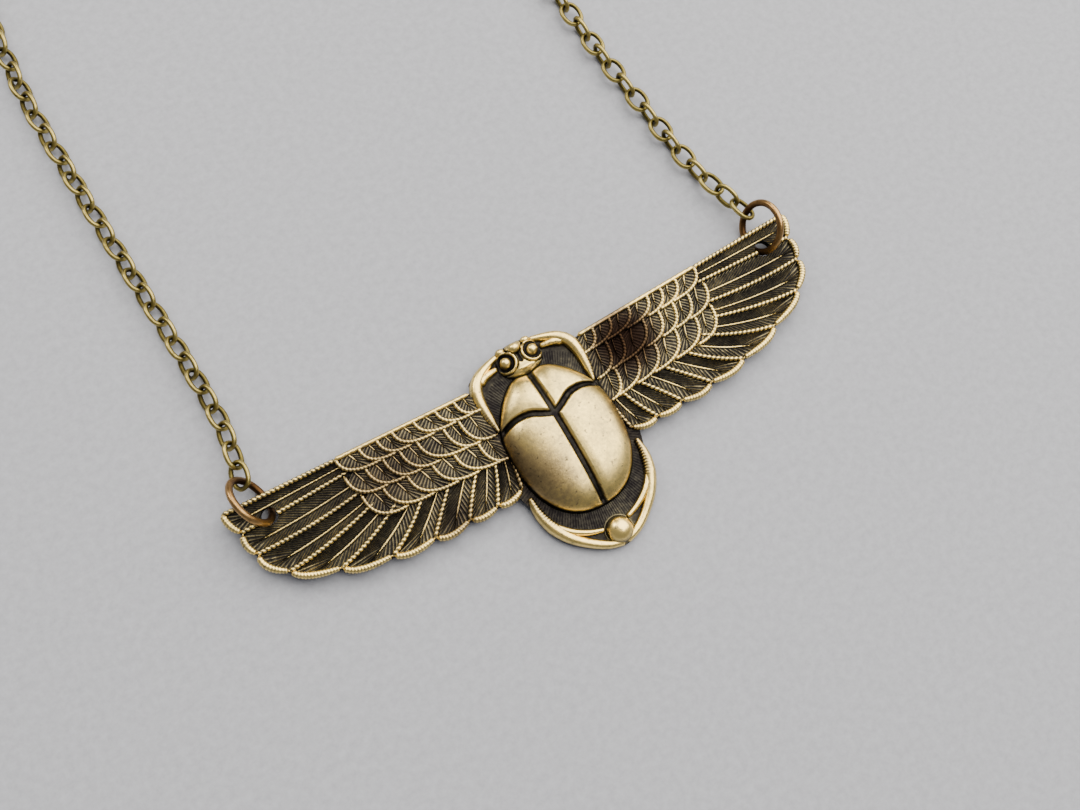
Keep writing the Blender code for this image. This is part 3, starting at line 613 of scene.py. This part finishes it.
def body():
    """The wing cases and the shield, a shell of two skins: a squared oval dome with three grooves over a plain
    smaller one. Height is the edge plus a power of the way inside, less a trough along each groove and a wider
    hollow round it. The wear is bright but near the outline, brightest on the grooves' lips and dark in them."""
    groove = smooth_path(SHOULDER_GROOVE, 60)[::-1]
    plan, inside = dome(BODY_OVAL, groove, BODY_COLUMNS, ROWS_BEHIND_GROOVE, ROWS_AHEAD_OF_GROOVE)
    rise = inside**BODY_POWER
    dark, near = trough(plan, groove, GROOVE_HALF_WIDTH)
    down = np.exp(-((np.abs(plan[..., 0]) / GROOVE_HALF_WIDTH) ** 4))
    dark = np.maximum(dark, down)
    near = np.minimum(near, np.abs(plan[..., 0]))
    height = SCARAB_EDGE + (SCARAB_HEIGHT - SCARAB_EDGE) * rise
    height = height - (GROOVE_DEPTH * dark + 0.3 * np.exp(-((near / 1.3) ** 2))) * np.clip(inside * 6, 0, 1)
    lip = np.exp(-(((near - 1.5 * GROOVE_HALF_WIDTH) / 0.14) ** 2))
    wear = np.clip((rise - 0.28) * 9, 0.03, 1) * (0.84 + 0.16 * lip) * (1 - 0.93 * dark)
    plan = lobed(plan)
    inner = 1 - SCARAB_WALL / BODY_OVAL[1]
    inner_plan = (plan - (0, BODY_OVAL[0])) * inner + (0, BODY_OVAL[0])
    hollow = 0.05 + (SCARAB_HEIGHT - SCARAB_WALL - 0.05) * rise
    top, under = np.dstack([plan, height]), np.dstack([inner_plan, hollow])
    return two_skins(top, under, wear, np.full(wear.shape, 0.1))


def two_skins(top, under, wear_top, wear_under):
    """A closed shell of two grids of the same size, joined along their rims."""
    rows, columns = top.shape[:2]
    count = rows * columns
    rim = rim_of(rows, columns)
    after = np.roll(rim, -1)
    quads = grid_quads(rows, columns)
    walls = np.stack([rim, after, after + count, rim + count], -1)
    points = np.vstack([top.reshape(-1, 3), under.reshape(-1, 3)])
    wear = np.concatenate([wear_top.ravel(), wear_under.ravel()])
    return closed(points, np.vstack([quads, quads[:, ::-1] + count, walls]), [], wear)


def bar(points, radius, rise, middle, hairs=0.0):
    """A leg in half relief: a squared round profile whose half width and height above its middle go from each
    value to the next along the path. Its under side goes down to the lowest level in the plate, and fine hairs
    are cut across one side of the path's first part. The wear follows the cosine of the turn from the top."""
    path = smooth_path(points, int(walked(np.array(points))[-1] / LEG_STEP) + 2)
    turn = np.linspace(-math.pi, math.pi, 18, endpoint=False)[None] + math.pi / 18
    so_far = walked(path)[:, None]
    share = so_far / so_far[-1]
    width = np.interp(share, np.linspace(0, 1, len(radius)), radius)
    tall = np.interp(share, np.linspace(0, 1, len(rise)), rise)
    ends = np.sqrt(np.clip(np.minimum(so_far, so_far[::-1]) / width * 1.4 + 0.1, 0, 1))
    notch = hairs * np.clip(np.cos(so_far / HAIR_PITCH * TURN), 0, 1) * np.clip(np.sin(turn) * 2, 0, 1)
    notch = notch * np.clip(2 - 5 * share, 0, 1)
    across = width * ends * np.sign(np.sin(turn)) * np.abs(np.sin(turn)) ** 0.85
    height = np.where(np.cos(turn) > 0, tall * ends - notch, middle - LOWEST) * np.cos(turn)
    wear = np.clip(2.6 * np.cos(turn) - 0.1, 0.03, 0.97) * (1 - np.clip(notch * 9, 0, 0.8)) * (1 + 0 * width)
    return sweep_level(path, middle, across, height, wear)


def legs():
    """The right front leg with its fork, and the right half of the hind pair with its fork: along each, the half
    widths and the heights above its middle, then the middle's level and the depth of the hairs."""
    front_widths, front_heights = (0.3, 0.72, 0.86, 0.98, 0.88, 0.62, 0.4), (0.7, 1.1, 1.3, 1.35, 1.2, 0.95, 0.7)
    hind_widths, hind_heights = (0.4, 0.76, 0.92, 0.8, 0.68, 0.64, 0.6), (0.8, 1.1, 1.2, 1.05, 0.95, 0.85, 0.8)
    return [
        bar(FRONT_LEG, front_widths, front_heights, 0.7, 0.05),
        bar(FRONT_SPUR, (0.7, 0.62, 0.4), (0.95, 1.0, 0.75), 0.75),
        bar(HIND_LEG, hind_widths, hind_heights, 0.6, 0.16),
        bar(HIND_SPUR, (0.5, 0.52, 0.46, 0.34), (0.8, 0.9, 0.8, 0.7), 0.75),
    ]


def ring_round_ball():
    """The low dark ring at the ball's foot, sunk by half its wire in the plate."""
    ring = round_ring(BALL_RADIUS + 0.12, 0.2, 36, 10, lambda angle: np.clip(0.2 + 0.1 * np.sin(angle), 0.05, 1))
    return placed(ring, Matrix.Translation((*BALL_PLACE, PLATE)))


def skull():
    """The head: a squared oval dome, its height a power of the way inside, with a raised rim round each eye. Cut
    in it are a moat inside and a fine ring outside each rim, a slot with a cross bar, and a line by the knob.
    Each line below has its half width and its depth."""
    middle = HEAD_OVAL[0]
    plan, inside = dome(HEAD_OVAL, np.array([(0, middle), (9, middle)]), 91, 42, 42)
    turn = np.linspace(0, TURN, 60)
    circle = np.column_stack([np.cos(turn), np.sin(turn)])
    lines = (
        (circle * 1.02 + EYE_PLACE, 0.25, 0.45),
        (smooth_path(((0, 9.6), (0, 10.4), (0, 10.95)), 20), 0.26, 0.4),
        (smooth_path(((0, 10.9), (0.3, 10.98), (0.62, 11.05)), 20), 0.17, 0.35),
        (circle * 1.74 + EYE_PLACE, 0.1, 0.22),
        (smooth_path(((1.15, 11.35), (1.3, 11.8), (1.3, 12.3)), 20), 0.14, 0.3),
    )
    rims, _ = trough(plan, circle * 1.45 + EYE_PLACE, 0.17)
    low = np.clip(inside * 4, 0, 1)
    height = 0.7 + (HEAD_HEIGHT - 0.7) * inside**HEAD_POWER + 0.16 * rims * low
    wear = np.clip(inside**0.5 * 1.9, 0.05, 0.85) + 0.15 * rims
    for line, half_width, depth in lines:
        dark, _ = trough(plan, line, half_width)
        height = height - depth * dark * low
        wear = wear * (1 - 0.97 * dark * (1 - 0.8 * rims))
    return pad(np.dstack([plan, height]), LOWEST, wear)


def head():
    """The skull, the eyes, the brow, and the knob and two bumps in front."""
    surfaces = [
        skull(),
        egg((0, 11.62, 1.4), (1.0, 0.8, 1.0), 0.35, 1.0),
        egg((0, 8.62, 1.0), (2.1, 0.62, 1.12), 0.3, 1.0),
    ]
    for side in (-1, 1):
        surfaces.append(egg((side * EYE_PLACE[0], EYE_PLACE[1], 1.75), (0.78, 0.78, 0.74), 0.4, 1.0))
        surfaces.append(egg((side * 1.95, 12.0, 1.05), (0.75, 0.55, 0.8), 0.3, 1.0))
    return surfaces


def scarab():
    """The body, the head, the legs, the pushed ball and the ground round them."""
    right = legs()
    surfaces = [body(), recess_floor(), *head(), *right, *[mirrored(leg) for leg in right]]
    surfaces.append(egg((*BALL_PLACE, 1.05), (BALL_RADIUS, BALL_RADIUS, 1.75), 0.1, 1.0, 40, 20))
    surfaces.append(ring_round_ball())
    return surfaces


# From surfaces to pieces

def lay_out(surfaces):
    """The surfaces one after the other: points, corner counts, corners and wear."""
    starts = np.cumsum([0] + [len(surface[0]) for surface in surfaces])
    points = np.vstack([surface[0] for surface in surfaces])
    counts = np.concatenate([surface[1] for surface in surfaces])
    corners = np.concatenate([surface[2] + start for surface, start in zip(surfaces, starts)])
    return points, counts, corners, np.concatenate([surface[3] for surface in surfaces])


def make_mesh(name, points, counts, corners, wear, painted_reflection=0.0):
    """A mesh of one closed surface or more. Its UV map holds the wear along u and the painted dark reflections
    along v.
    """
    mesh = bpy.data.meshes.new(name)
    mesh.vertices.add(len(points))
    mesh.vertices.foreach_set("co", np.ascontiguousarray(points, dtype=np.float32).ravel())
    mesh.loops.add(len(corners))
    mesh.loops.foreach_set("vertex_index", corners.astype(np.int32))
    mesh.polygons.add(len(counts))
    mesh.polygons.foreach_set("loop_start", (np.cumsum(counts) - counts).astype(np.int32))
    mesh.update(calc_edges=True)
    layer = mesh.uv_layers.new(name="wear")
    layer.data.foreach_set("uv", np.column_stack([wear, painted_reflection + 0 * wear]).astype(np.float32).ravel())
    mesh.validate()
    return mesh


def bored(surface, places, radius):
    """The surface with a round hole through it at each plan place."""
    shape = bpy.data.objects.new("bored", make_mesh("bored", *surface))
    bpy.context.scene.collection.objects.link(shape)
    tools = []
    turn = np.linspace(0, TURN, 48, endpoint=False)
    for place in places:
        drill = prism(np.column_stack([np.cos(turn), np.sin(turn)]) * radius + place, -5, 5, 0.1)
        tool = bpy.data.objects.new("drill", make_mesh("drill", *drill))
        bpy.context.scene.collection.objects.link(tool)
        cut = shape.modifiers.new("cut", "BOOLEAN")
        cut.operation, cut.solver, cut.object = "DIFFERENCE", "EXACT", tool
        tools.append(tool)
    result = bpy.data.meshes.new_from_object(shape.evaluated_get(bpy.context.evaluated_depsgraph_get()))
    for done in (shape, *tools):
        bpy.data.objects.remove(done, do_unlink=True)
    return read_back(result)


def read_back(mesh):
    """A mesh as points, corner counts, corners and wear."""
    points = np.empty(len(mesh.vertices) * 3, np.float32)
    counts = np.empty(len(mesh.polygons), np.int32)
    corners = np.empty(len(mesh.loops), np.int32)
    wear = np.empty(len(mesh.loops) * 2, np.float32)
    mesh.vertices.foreach_get("co", points)
    mesh.polygons.foreach_get("loop_total", counts)
    mesh.loops.foreach_get("vertex_index", corners)
    mesh.uv_layers["wear"].data.foreach_get("uv", wear)
    return points.reshape(-1, 3).astype(float), counts, corners, wear[::2].astype(float)


def make_piece(name, surfaces, material, slot, *nodes, lies=np.eye(4), painted_reflection=None):
    """One piece in place of CAD nodes, its surfaces given in millimetres in the frame that lies says."""
    points, counts, corners, wear = lay_out(surfaces)
    # The share of painted dark reflection at each corner, worked out in the stamping's own plan before it is
    # placed
    painted_reflection_at_corners = painted_reflection(points)[corners] if painted_reflection else 0.0
    points = placed((points,), lies)[0]
    mesh = make_mesh(name, points * MM, counts, corners, wear, painted_reflection_at_corners)
    mesh.polygons.foreach_set("use_smooth", np.ones(len(mesh.polygons), bool))
    mesh.set_sharp_from_angle(angle=math.radians(50))
    mesh.materials.append(material)
    piece = bpy.data.objects.new(name, mesh)
    bpy.context.scene.collection.objects.link(piece)
    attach(piece, "root")
    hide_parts(*nodes)
    return piece


def painted_dark_reflection(points):
    """How much painted dark reflection the stamping gets at each point: the sum of its painted reflections, no
    more than 1.
    Each is a bell in the plan, with the way from its middle measured in its own half width and half height."""
    total = 0.0
    for x, y, half_width, half_height, power, strength in PAINTED_DARK_REFLECTIONS:
        away = ((points[:, 0] - x) / half_width) ** 2 + ((points[:, 1] - y) / half_height) ** 2
        total = total + strength * np.exp(-(away ** (power / 2)))
    return np.clip(total, 0, 1)


# Where things lie

def tilt():
    """The turn about x that lifts the wing tips off the rings under them."""
    lift = RING_WIRE + LIFT_UNDER_WINGS - CLEARANCE
    return math.asin(lift / (HOLE_PLACE[1] - TAIL_OUTLINE[-1][1]))


def ring_pose(side):
    """A jump ring's middle, the way along the chain in its plane, and the way up in its plane."""
    lower = TAIL_OUTLINE[-1][1]
    hole_y = lower + (HOLE_PLACE[1] - lower) * math.cos(tilt())
    radius = (RING_DIAMETER - RING_WIRE) / 2
    middle = (HOLE_PLACE[0] + RING_ASIDE, hole_y + RING_AHEAD, radius * math.sin(RING_LEAN) + RING_WIRE / 2)
    along = (-math.sin(RING_YAW), math.cos(RING_YAW), 0)
    level = math.cos(RING_LEAN)
    rising = (level * math.cos(RING_YAW), level * math.sin(RING_YAW), math.sin(RING_LEAN))
    return np.array([middle, along, rising]) * (side, 1, 1)


def ring_end(side):
    """The point of the ring's wire that the first link hangs on."""
    middle, along, rising = ring_pose(side)
    return middle + (RING_DIAMETER - RING_WIRE) / 2 * (math.cos(RING_HOLD) * along + math.sin(RING_HOLD) * rising)


def layout_shift():
    """How far the row frame's middle is from the drawing's along y, from where the CAD's right ring is."""
    low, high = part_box("jump_ring_right")
    return (low.y + high.y) / 2 / MM - ring_pose(1)[0][1]


def stamping_matrix():
    """The stamping's place in the row frame, in millimetres: tilted about its lower edge, then shifted."""
    edge = Matrix.Translation((0, TAIL_OUTLINE[-1][1], 0))
    turned = edge @ Matrix.Rotation(tilt(), 4, "X") @ edge.inverted()
    return Matrix.Translation((0, layout_shift(), 0)) @ turned


def placed(surface, matrix):
    """The surface moved by a four by four matrix."""
    points, *rest = surface
    matrix = np.array(matrix)
    return (points @ matrix[:3, :3].T + matrix[:3, 3], *rest)


# Rings, chain and clasp

def wire_ring(diameter, wire):
    """A closed ring of round wire in the plane of x and y, by its outer diameter. Its wear follows the cosine of
    the turn about the wire, so that it is duller on its inner side."""
    return round_ring((diameter - wire) / 2, wire / 2, 72, 14, lambda angle: 0.62 + 0.34 * np.cos(angle))


def oval_link():
    """One link: a round wire carried round a squared oval, its long way along y. Its wear follows the cosine of
    the turn about the wire, and is lowest inside the two ends, where the next links lie."""
    half_width = (LINK_WIDTH - LINK_SECTION * 1.15) / 2
    half_length = (LINK_LENGTH - LINK_SECTION) / 2
    turn = np.linspace(0, TURN, 28, endpoint=False)
    path = np.column_stack([half_width * np.cos(turn), half_length * np.sin(turn), 0 * turn])
    spread = np.abs(np.cos(turn)) ** LINK_SQUARENESS + np.abs(np.sin(turn)) ** LINK_SQUARENESS
    path[:, :2] *= (spread ** (-1 / LINK_SQUARENESS))[:, None]
    ahead = np.roll(path, -1, axis=0) - np.roll(path, 1, axis=0)
    out = np.column_stack([ahead[:, 1], -ahead[:, 0], 0 * turn])
    out /= np.linalg.norm(out, axis=1)[:, None]
    angle = np.linspace(0, TURN, 8, endpoint=False)[None] + 0 * turn[:, None]
    wire = LINK_WIRE / 2
    ends = np.abs(np.sin(turn))[:, None] ** 6
    wear = 0.6 + 0.38 * np.cos(angle) - 0.25 * ends * (np.cos(angle) < 0)
    return sweep(path, out, wire * np.cos(angle), wire * np.sin(angle), wear, ring=True)


def stations():
    """How far along the chain each link's middle is, on both sides, then the hook's eye and bend, the end ring
    and the chain's whole length."""
    inner_end = (LINK_LENGTH - COS_30 * LINK_SECTION) / 2 - COS_30 * LINK_SECTION
    numbers = np.arange(1, LINKS_IN_A_RUN * RUNS_ON_A_SIDE)
    steps = 2 * inner_end + np.where(numbers % LINKS_IN_A_RUN, LINK_BITE, -RUN_GAP)
    side = inner_end - RING_WIRE / 2 - CLEARANCE + np.concatenate([[0], np.cumsum(steps)])
    eye = side[-1] + inner_end - CLEARANCE - CLASP_WIRE / 2 + (CLASP_EYE - CLASP_WIRE) / 2
    bend = eye + CLASP_SHANK
    end_ring = bend + (CLASP_BEND - CLASP_WIRE) / 2 + HOOK_SEAT
    total = end_ring + inner_end + LINK_SEAT + side[-1]
    return side, total - side, eye, bend, end_ring, total


def chain_way(total):
    """The chain's way round the table, stretched away from the wings until it is as long as the chain."""
    start, stop = ring_end(-1), ring_end(1)
    low, high = 0.5, 2.0
    for _ in range(40):
        stretch = (low + high) / 2
        drawn = np.array(ROUTE[1:-1], dtype=float)
        drawn[:, 1] = start[1] + (drawn[:, 1] - ROUTE[0][1]) * stretch
        way = smooth_path(np.vstack([start[:2], drawn, stop[:2]]), 1200)
        low, high = (stretch, high) if walked(way)[-1] < total else (low, stretch)
    return way


def roll_at(share):
    """How far the links are rolled about the chain at a share of its length, evenly between the listed ones."""
    return math.radians(float(np.interp(share, *LINK_ROLLS)))


def point_at(way, total, distance):
    """The point of the way at a distance, by even steps between its own points."""
    return np.array([np.interp(distance, np.linspace(0, total, len(way)), column) for column in way.T])


def pose_at(way, total, distance, roll):
    """A frame on the way: y along it, rolled about it, at the height that keeps a link on the table. Near the
    jump rings it rises to theirs, by a bell of the distance to the nearer one."""
    here = point_at(way, total, distance)
    step = point_at(way, total, distance + 1) - point_at(way, total, distance - 1)
    slant = roll_at(distance / total)
    small, large = sorted((abs(math.sin(slant)), abs(math.cos(slant))))
    rest = LINK_WIDTH / 2 * large + COS_30 * LINK_SECTION * small
    nearest = min(distance, total - distance)
    height = rest + (ring_end(1)[2] - rest) * math.exp(-((nearest / (1.6 * LINK_LENGTH)) ** 2))
    turn = Matrix.Rotation(math.atan2(step[1], step[0]) - math.pi / 2, 4, "Z") @ Matrix.Rotation(roll, 4, "Y")
    return Matrix.Translation((here[0], here[1] + layout_shift(), max(height, rest))) @ turn


def chain_side(way, total, distances):
    """Every link of one side of the chain, each a quarter turn from the one before."""
    link = oval_link()
    links = []
    for number, distance in enumerate(distances):
        roll = roll_at(distance / total) + math.radians(90 * (number % 2))
        links.append(placed(link, pose_at(way, total, distance, roll)))
    return links


def clasp_pose(way, total, eye, end_ring):
    """The clasp's frame: its origin in the middle of the hook's eye, y towards the ring."""
    step = point_at(way, total, end_ring) - point_at(way, total, eye)
    lies = Matrix.Translation(pose_at(way, total, eye, 0).translation)
    return lies @ Matrix.Rotation(math.atan2(step[1], step[0]) - math.pi / 2, 4, "Z")


def clasp_hook(reach):
    """A bent-wire hook: most of a circle for the eye, a shank, half a circle for the bend and a tip that comes
    back towards the eye, with round wire along their line that is thinner at its two ends."""
    turns = np.radians(np.linspace(25, 320, 25))
    eye_radius, bend_radius = (CLASP_EYE - CLASP_WIRE) / 2, (CLASP_BEND - CLASP_WIRE) / 2
    around = np.radians(np.linspace(-90, 90, 13))
    eye = np.column_stack([eye_radius * np.sin(turns), eye_radius * np.cos(turns)])
    shank = [(-bend_radius, 0.45 * reach), (-bend_radius, reach - 0.2 * CLASP_WIRE)]
    bend = np.column_stack([bend_radius * np.sin(around), reach + bend_radius * np.cos(around)])
    tip = [(bend_radius, reach - 0.6 * CLASP_TIP), (1.2 * bend_radius, reach - CLASP_TIP)]
    path = smooth_path(np.vstack([eye, shank, bend, tip]), 150)
    angle = np.linspace(0, TURN, 12, endpoint=False)[None] + 0 * path[:, :1]
    wire = CLASP_WIRE / 2 * np.clip(np.minimum(walked(path), walked(path)[::-1]) * 1.5 + 0.4, 0, 1)[:, None]
    return sweep_level(path, 0.0, wire * np.cos(angle), wire * np.sin(angle), 0.7 + 0 * angle)


def end_ring_matrix(pose, reach):
    """The end ring's frame: at its reach from the hook's eye, leaning, with its lower side on the table."""
    height = (END_RING_DIAMETER - END_RING_WIRE) / 2 * math.sin(END_RING_LEAN) + END_RING_WIRE / 2
    rise = height - pose.translation.z
    middle = Matrix.Translation((rise / math.tan(END_RING_LEAN), reach, rise))
    return pose @ middle @ Matrix.Rotation(-END_RING_LEAN, 4, "Y")


# Finishes

def add_node(tree, kind, **settings):
    """A new shader node; each setting goes to the socket of its name, or else to the node's own property."""
    node = tree.nodes.new(kind)
    for name, value in settings.items():
        if name in node.inputs:
            node.inputs[name].default_value = value
        else:
            setattr(node, name, value)
    return node


def new_material(name):
    """A new material, its node tree and its shader."""
    material = bpy.data.materials.new(name)
    material.use_nodes = True
    return material, material.node_tree, material.node_tree.nodes["Principled BSDF"]


def noise(tree, scale, detail, roughness):
    """A cloudy noise on the object's own coordinates."""
    place = add_node(tree, "ShaderNodeTexCoord")
    texture = add_node(tree, "ShaderNodeTexNoise", Scale=scale, Detail=detail, Roughness=roughness)
    tree.links.new(place.outputs["Object"], texture.inputs["Vector"])
    return texture.outputs["Fac"]


def maths(tree, operation, *values, clamped=False):
    """A sum or product of the values, each a number or another node's output."""
    node = add_node(tree, "ShaderNodeMath", operation=operation, use_clamp=clamped)
    for socket, value in zip(node.inputs, values):
        if isinstance(value, bpy.types.NodeSocket):
            tree.links.new(value, socket)
        else:
            socket.default_value = value
    return node.outputs[0]


def carried_over(tree, value, start, stop, low, high):
    """The value's way from start to stop, carried over evenly to the way from low to high and kept in it."""
    node = add_node(tree, "ShaderNodeMapRange")
    for name, number in (("From Min", start), ("From Max", stop), ("To Min", low), ("To Max", high)):
        node.inputs[name].default_value = number
    tree.links.new(value, node.inputs["Value"])
    return node.outputs["Result"]


def colour_at(tree, value, stops):
    """The colour at the value, evenly between stops that are each a position and a colour."""
    node = add_node(tree, "ShaderNodeValToRGB")
    marks = node.color_ramp.elements
    marks[0].position, marks[0].color = stops[0]
    marks[1].position, marks[1].color = stops[-1]
    for position, colour in stops[1:-1]:
        marks.new(position).color = colour
    tree.links.new(value, node.inputs["Fac"])
    return node.outputs["Color"]


def metal(name, stops, roughness, mottle, pit_scale, bump):
    """Antiqued brass: colour stops from patina to rubbed metal, and a roughness that goes from the first value to
    the second. Both follow the wear plus clouds and grain about their middle, times what pits and the painted dark
    reflections leave of it. The painted reflections also tint the colour, and the clouds and grain are a faint
    relief."""
    material, tree, shader = new_material(name)
    link = tree.links.new
    wear_map = add_node(tree, "ShaderNodeUVMap", uv_map="wear")
    parts = add_node(tree, "ShaderNodeSeparateXYZ")
    link(wear_map.outputs["UV"], parts.inputs[0])
    wear, painted_reflection = parts.outputs["X"], parts.outputs["Y"]
    cloudy = maths(tree, "MULTIPLY_ADD", noise(tree, CLOUD_SCALE, 5.0, 0.6), mottle, -mottle / 2)
    grain = noise(tree, GRAIN_SCALE, 4.0, 0.65)
    grainy = maths(tree, "MULTIPLY_ADD", grain, mottle * GRAIN_SHARE, cloudy)
    centred = maths(tree, "SUBTRACT", grainy, mottle * GRAIN_SHARE / 2)
    mottled = maths(tree, "ADD", wear, centred, clamped=True)
    pits = carried_over(tree, noise(tree, pit_scale, 2.0, 0.6), *PITS_IN_NOISE, *WEAR_IN_PITS)
    # The painted dark reflections along v dull the worn value and tint the colour reddish brown
    outside_painted_reflection = maths(tree, "MULTIPLY_ADD", painted_reflection, -PAINTED_REFLECTION_DULLS, 1.0)
    worn = maths(tree, "MULTIPLY", maths(tree, "MULTIPLY", mottled, pits), outside_painted_reflection)
    tinted = add_node(tree, "ShaderNodeMixRGB", blend_type="MULTIPLY")
    link(painted_reflection, tinted.inputs["Fac"])
    link(colour_at(tree, worn, stops), tinted.inputs["Color1"])
    tinted.inputs["Color2"].default_value = PAINTED_REFLECTION_TINT
    link(tinted.outputs["Color"], shader.inputs["Base Color"])
    shader.inputs["Metallic"].default_value = 1.0
    link(carried_over(tree, worn, 0, 1, *roughness), shader.inputs["Roughness"])
    relief = add_node(tree, "ShaderNodeBump", Strength=bump, Distance=RELIEF)
    link(grainy, relief.inputs["Height"])
    link(relief.outputs["Normal"], shader.inputs["Normal"])
    return material


def studio_floor():
    """A plain pale table top with a fine mottle, far larger than the view."""
    mesh = bpy.data.meshes.new("table_top")
    corners = [(x * TABLE_REACH, y * TABLE_REACH, 0) for x, y in ((-1, -1), (1, -1), (1, 1), (-1, 1))]
    mesh.from_pydata(corners, [], [(0, 1, 2, 3)])
    table = bpy.data.objects.new("table_top", mesh)
    bpy.context.scene.collection.objects.link(table)
    material, tree, shader = new_material("pale_card")
    tree.links.new(colour_at(tree, noise(tree, 900.0, 4.0, 0.7), PALE_CARD), shader.inputs["Base Color"])
    shader.inputs["Roughness"].default_value = 0.8
    mesh.materials.append(material)


def lamp(name, place, size, power):
    """A square soft light that points at the lit point."""
    light = bpy.data.lights.new(name, "AREA")
    light.size, light.energy, light.color = size, power, DAYLIGHT
    holder = bpy.data.objects.new(name, light)
    aim = Vector(place) - Vector(LIT_POINT)
    holder.matrix_world = Matrix.Translation(place) @ aim.to_track_quat("Z", "Y").to_matrix().to_4x4()
    bpy.context.scene.collection.objects.link(holder)


def studio():
    """A dim pale room, a broad soft light above the right wing and a small weak one ahead of the left wing."""
    world = bpy.data.worlds.new("room")
    world.use_nodes = True
    background = world.node_tree.nodes["Background"]
    background.inputs["Color"].default_value = ROOM_COLOUR
    background.inputs["Strength"].default_value = ROOM_STRENGTH
    bpy.context.scene.world = world
    lamp("broad_window", *BROAD_WINDOW)
    lamp("small_window", *SMALL_WINDOW)


def camera():
    """The photograph's camera: three turns about the stamping's axes, then a step back from it."""
    turned = Matrix.Identity(4)
    for axis, turn in zip("XYZ", CAMERA_TURN):
        turned = turned @ Matrix.Rotation(math.radians(turn), 4, axis)
    seen_from = stamping_matrix() @ (Matrix.Translation(CAMERA_PLACE) @ turned).inverted()
    lens = bpy.data.cameras.new("camera")
    lens.lens = SENSOR * FOCAL_SHARE
    lens.sensor_width = SENSOR
    lens.clip_start = NEAREST_SEEN
    holder = bpy.data.objects.new("camera", lens)
    holder.matrix_world = Matrix.Translation(seen_from.translation * MM) @ seen_from.to_3x3().to_4x4()
    bpy.context.scene.collection.objects.link(holder)
    bpy.context.scene.camera = holder


# The finishes, each with its roughness in the recesses and where it is rubbed

stamped = metal("antiqued_stamping", STAMPED, (0.5, 0.3), mottle=0.6, pit_scale=1700.0, bump=0.4)
chain_brass = metal("antiqued_chain", CHAIN, (0.5, 0.33), mottle=0.6, pit_scale=1800.0, bump=0.3)
ring_brass = metal("coppery_rings", COPPERY, (0.5, 0.3), mottle=0.5, pit_scale=1800.0, bump=0.3)

# The stamping. Its hole passes through the first long feather, the second one's web and the beaded top rim.

lies = stamping_matrix()
right_hole = np.array(HOLE_PLACE)
wing = right_wing()
for index in (0, 1, 2, 3, len(wing) - 1):
    wing[index] = bored(wing[index], [right_hole], HOLE_RADIUS)
# Both wings and the scarab carry the painted dark reflections in their finish
for side_name, wing_side in (("wing_right", wing), ("wing_left", [mirrored(piece) for piece in wing])):
    make_piece(side_name, wing_side, stamped, "stamping", "winged_scarab", lies=lies, painted_reflection=painted_dark_reflection)
sheet = bored(plate(), [right_hole, right_hole * (-1, 1)], HOLE_RADIUS)
make_piece("scarab", [sheet, *scarab()], stamped, "stamping", "winged_scarab", lies=lies, painted_reflection=painted_dark_reflection)

# The chain, the jump rings and the clasp

left, right, eye_place, bend_place, end_ring_place, chain_length = stations()
route = chain_way(chain_length)
for side_name, distances in (("left", left), ("right", right)):
    nodes = [f"chain_{side_name}_{run + 1}" for run in range(RUNS_ON_A_SIDE)]
    links = chain_side(route, chain_length, distances)
    make_piece(f"chain_of_links_{side_name}", links, chain_brass, "chain", *nodes)
for side_name, side_sign in (("left", -1), ("right", 1)):
    middle, along, rising = ring_pose(side_sign)
    pose = np.eye(4)
    pose[:3, :3] = np.column_stack([along, rising, np.cross(along, rising)])
    pose[:3, 3] = middle + (0, layout_shift(), 0)
    ring = placed(wire_ring(RING_DIAMETER, RING_WIRE), pose)
    make_piece(f"jump_ring_wire_{side_name}", [ring], ring_brass, "ring", f"jump_ring_{side_name}")
clasp = clasp_pose(route, chain_length, eye_place, end_ring_place)
hook = placed(clasp_hook(bend_place - eye_place), clasp)
make_piece("clasp_hook_wire", [hook], ring_brass, "ring", "clasp_hook")
end_ring_lies = end_ring_matrix(clasp, end_ring_place - eye_place)
end_ring = placed(wire_ring(END_RING_DIAMETER, END_RING_WIRE), end_ring_lies)
make_piece("clasp_ring_wire", [end_ring], ring_brass, "ring", "clasp_ring")

studio_floor()
studio()
camera()
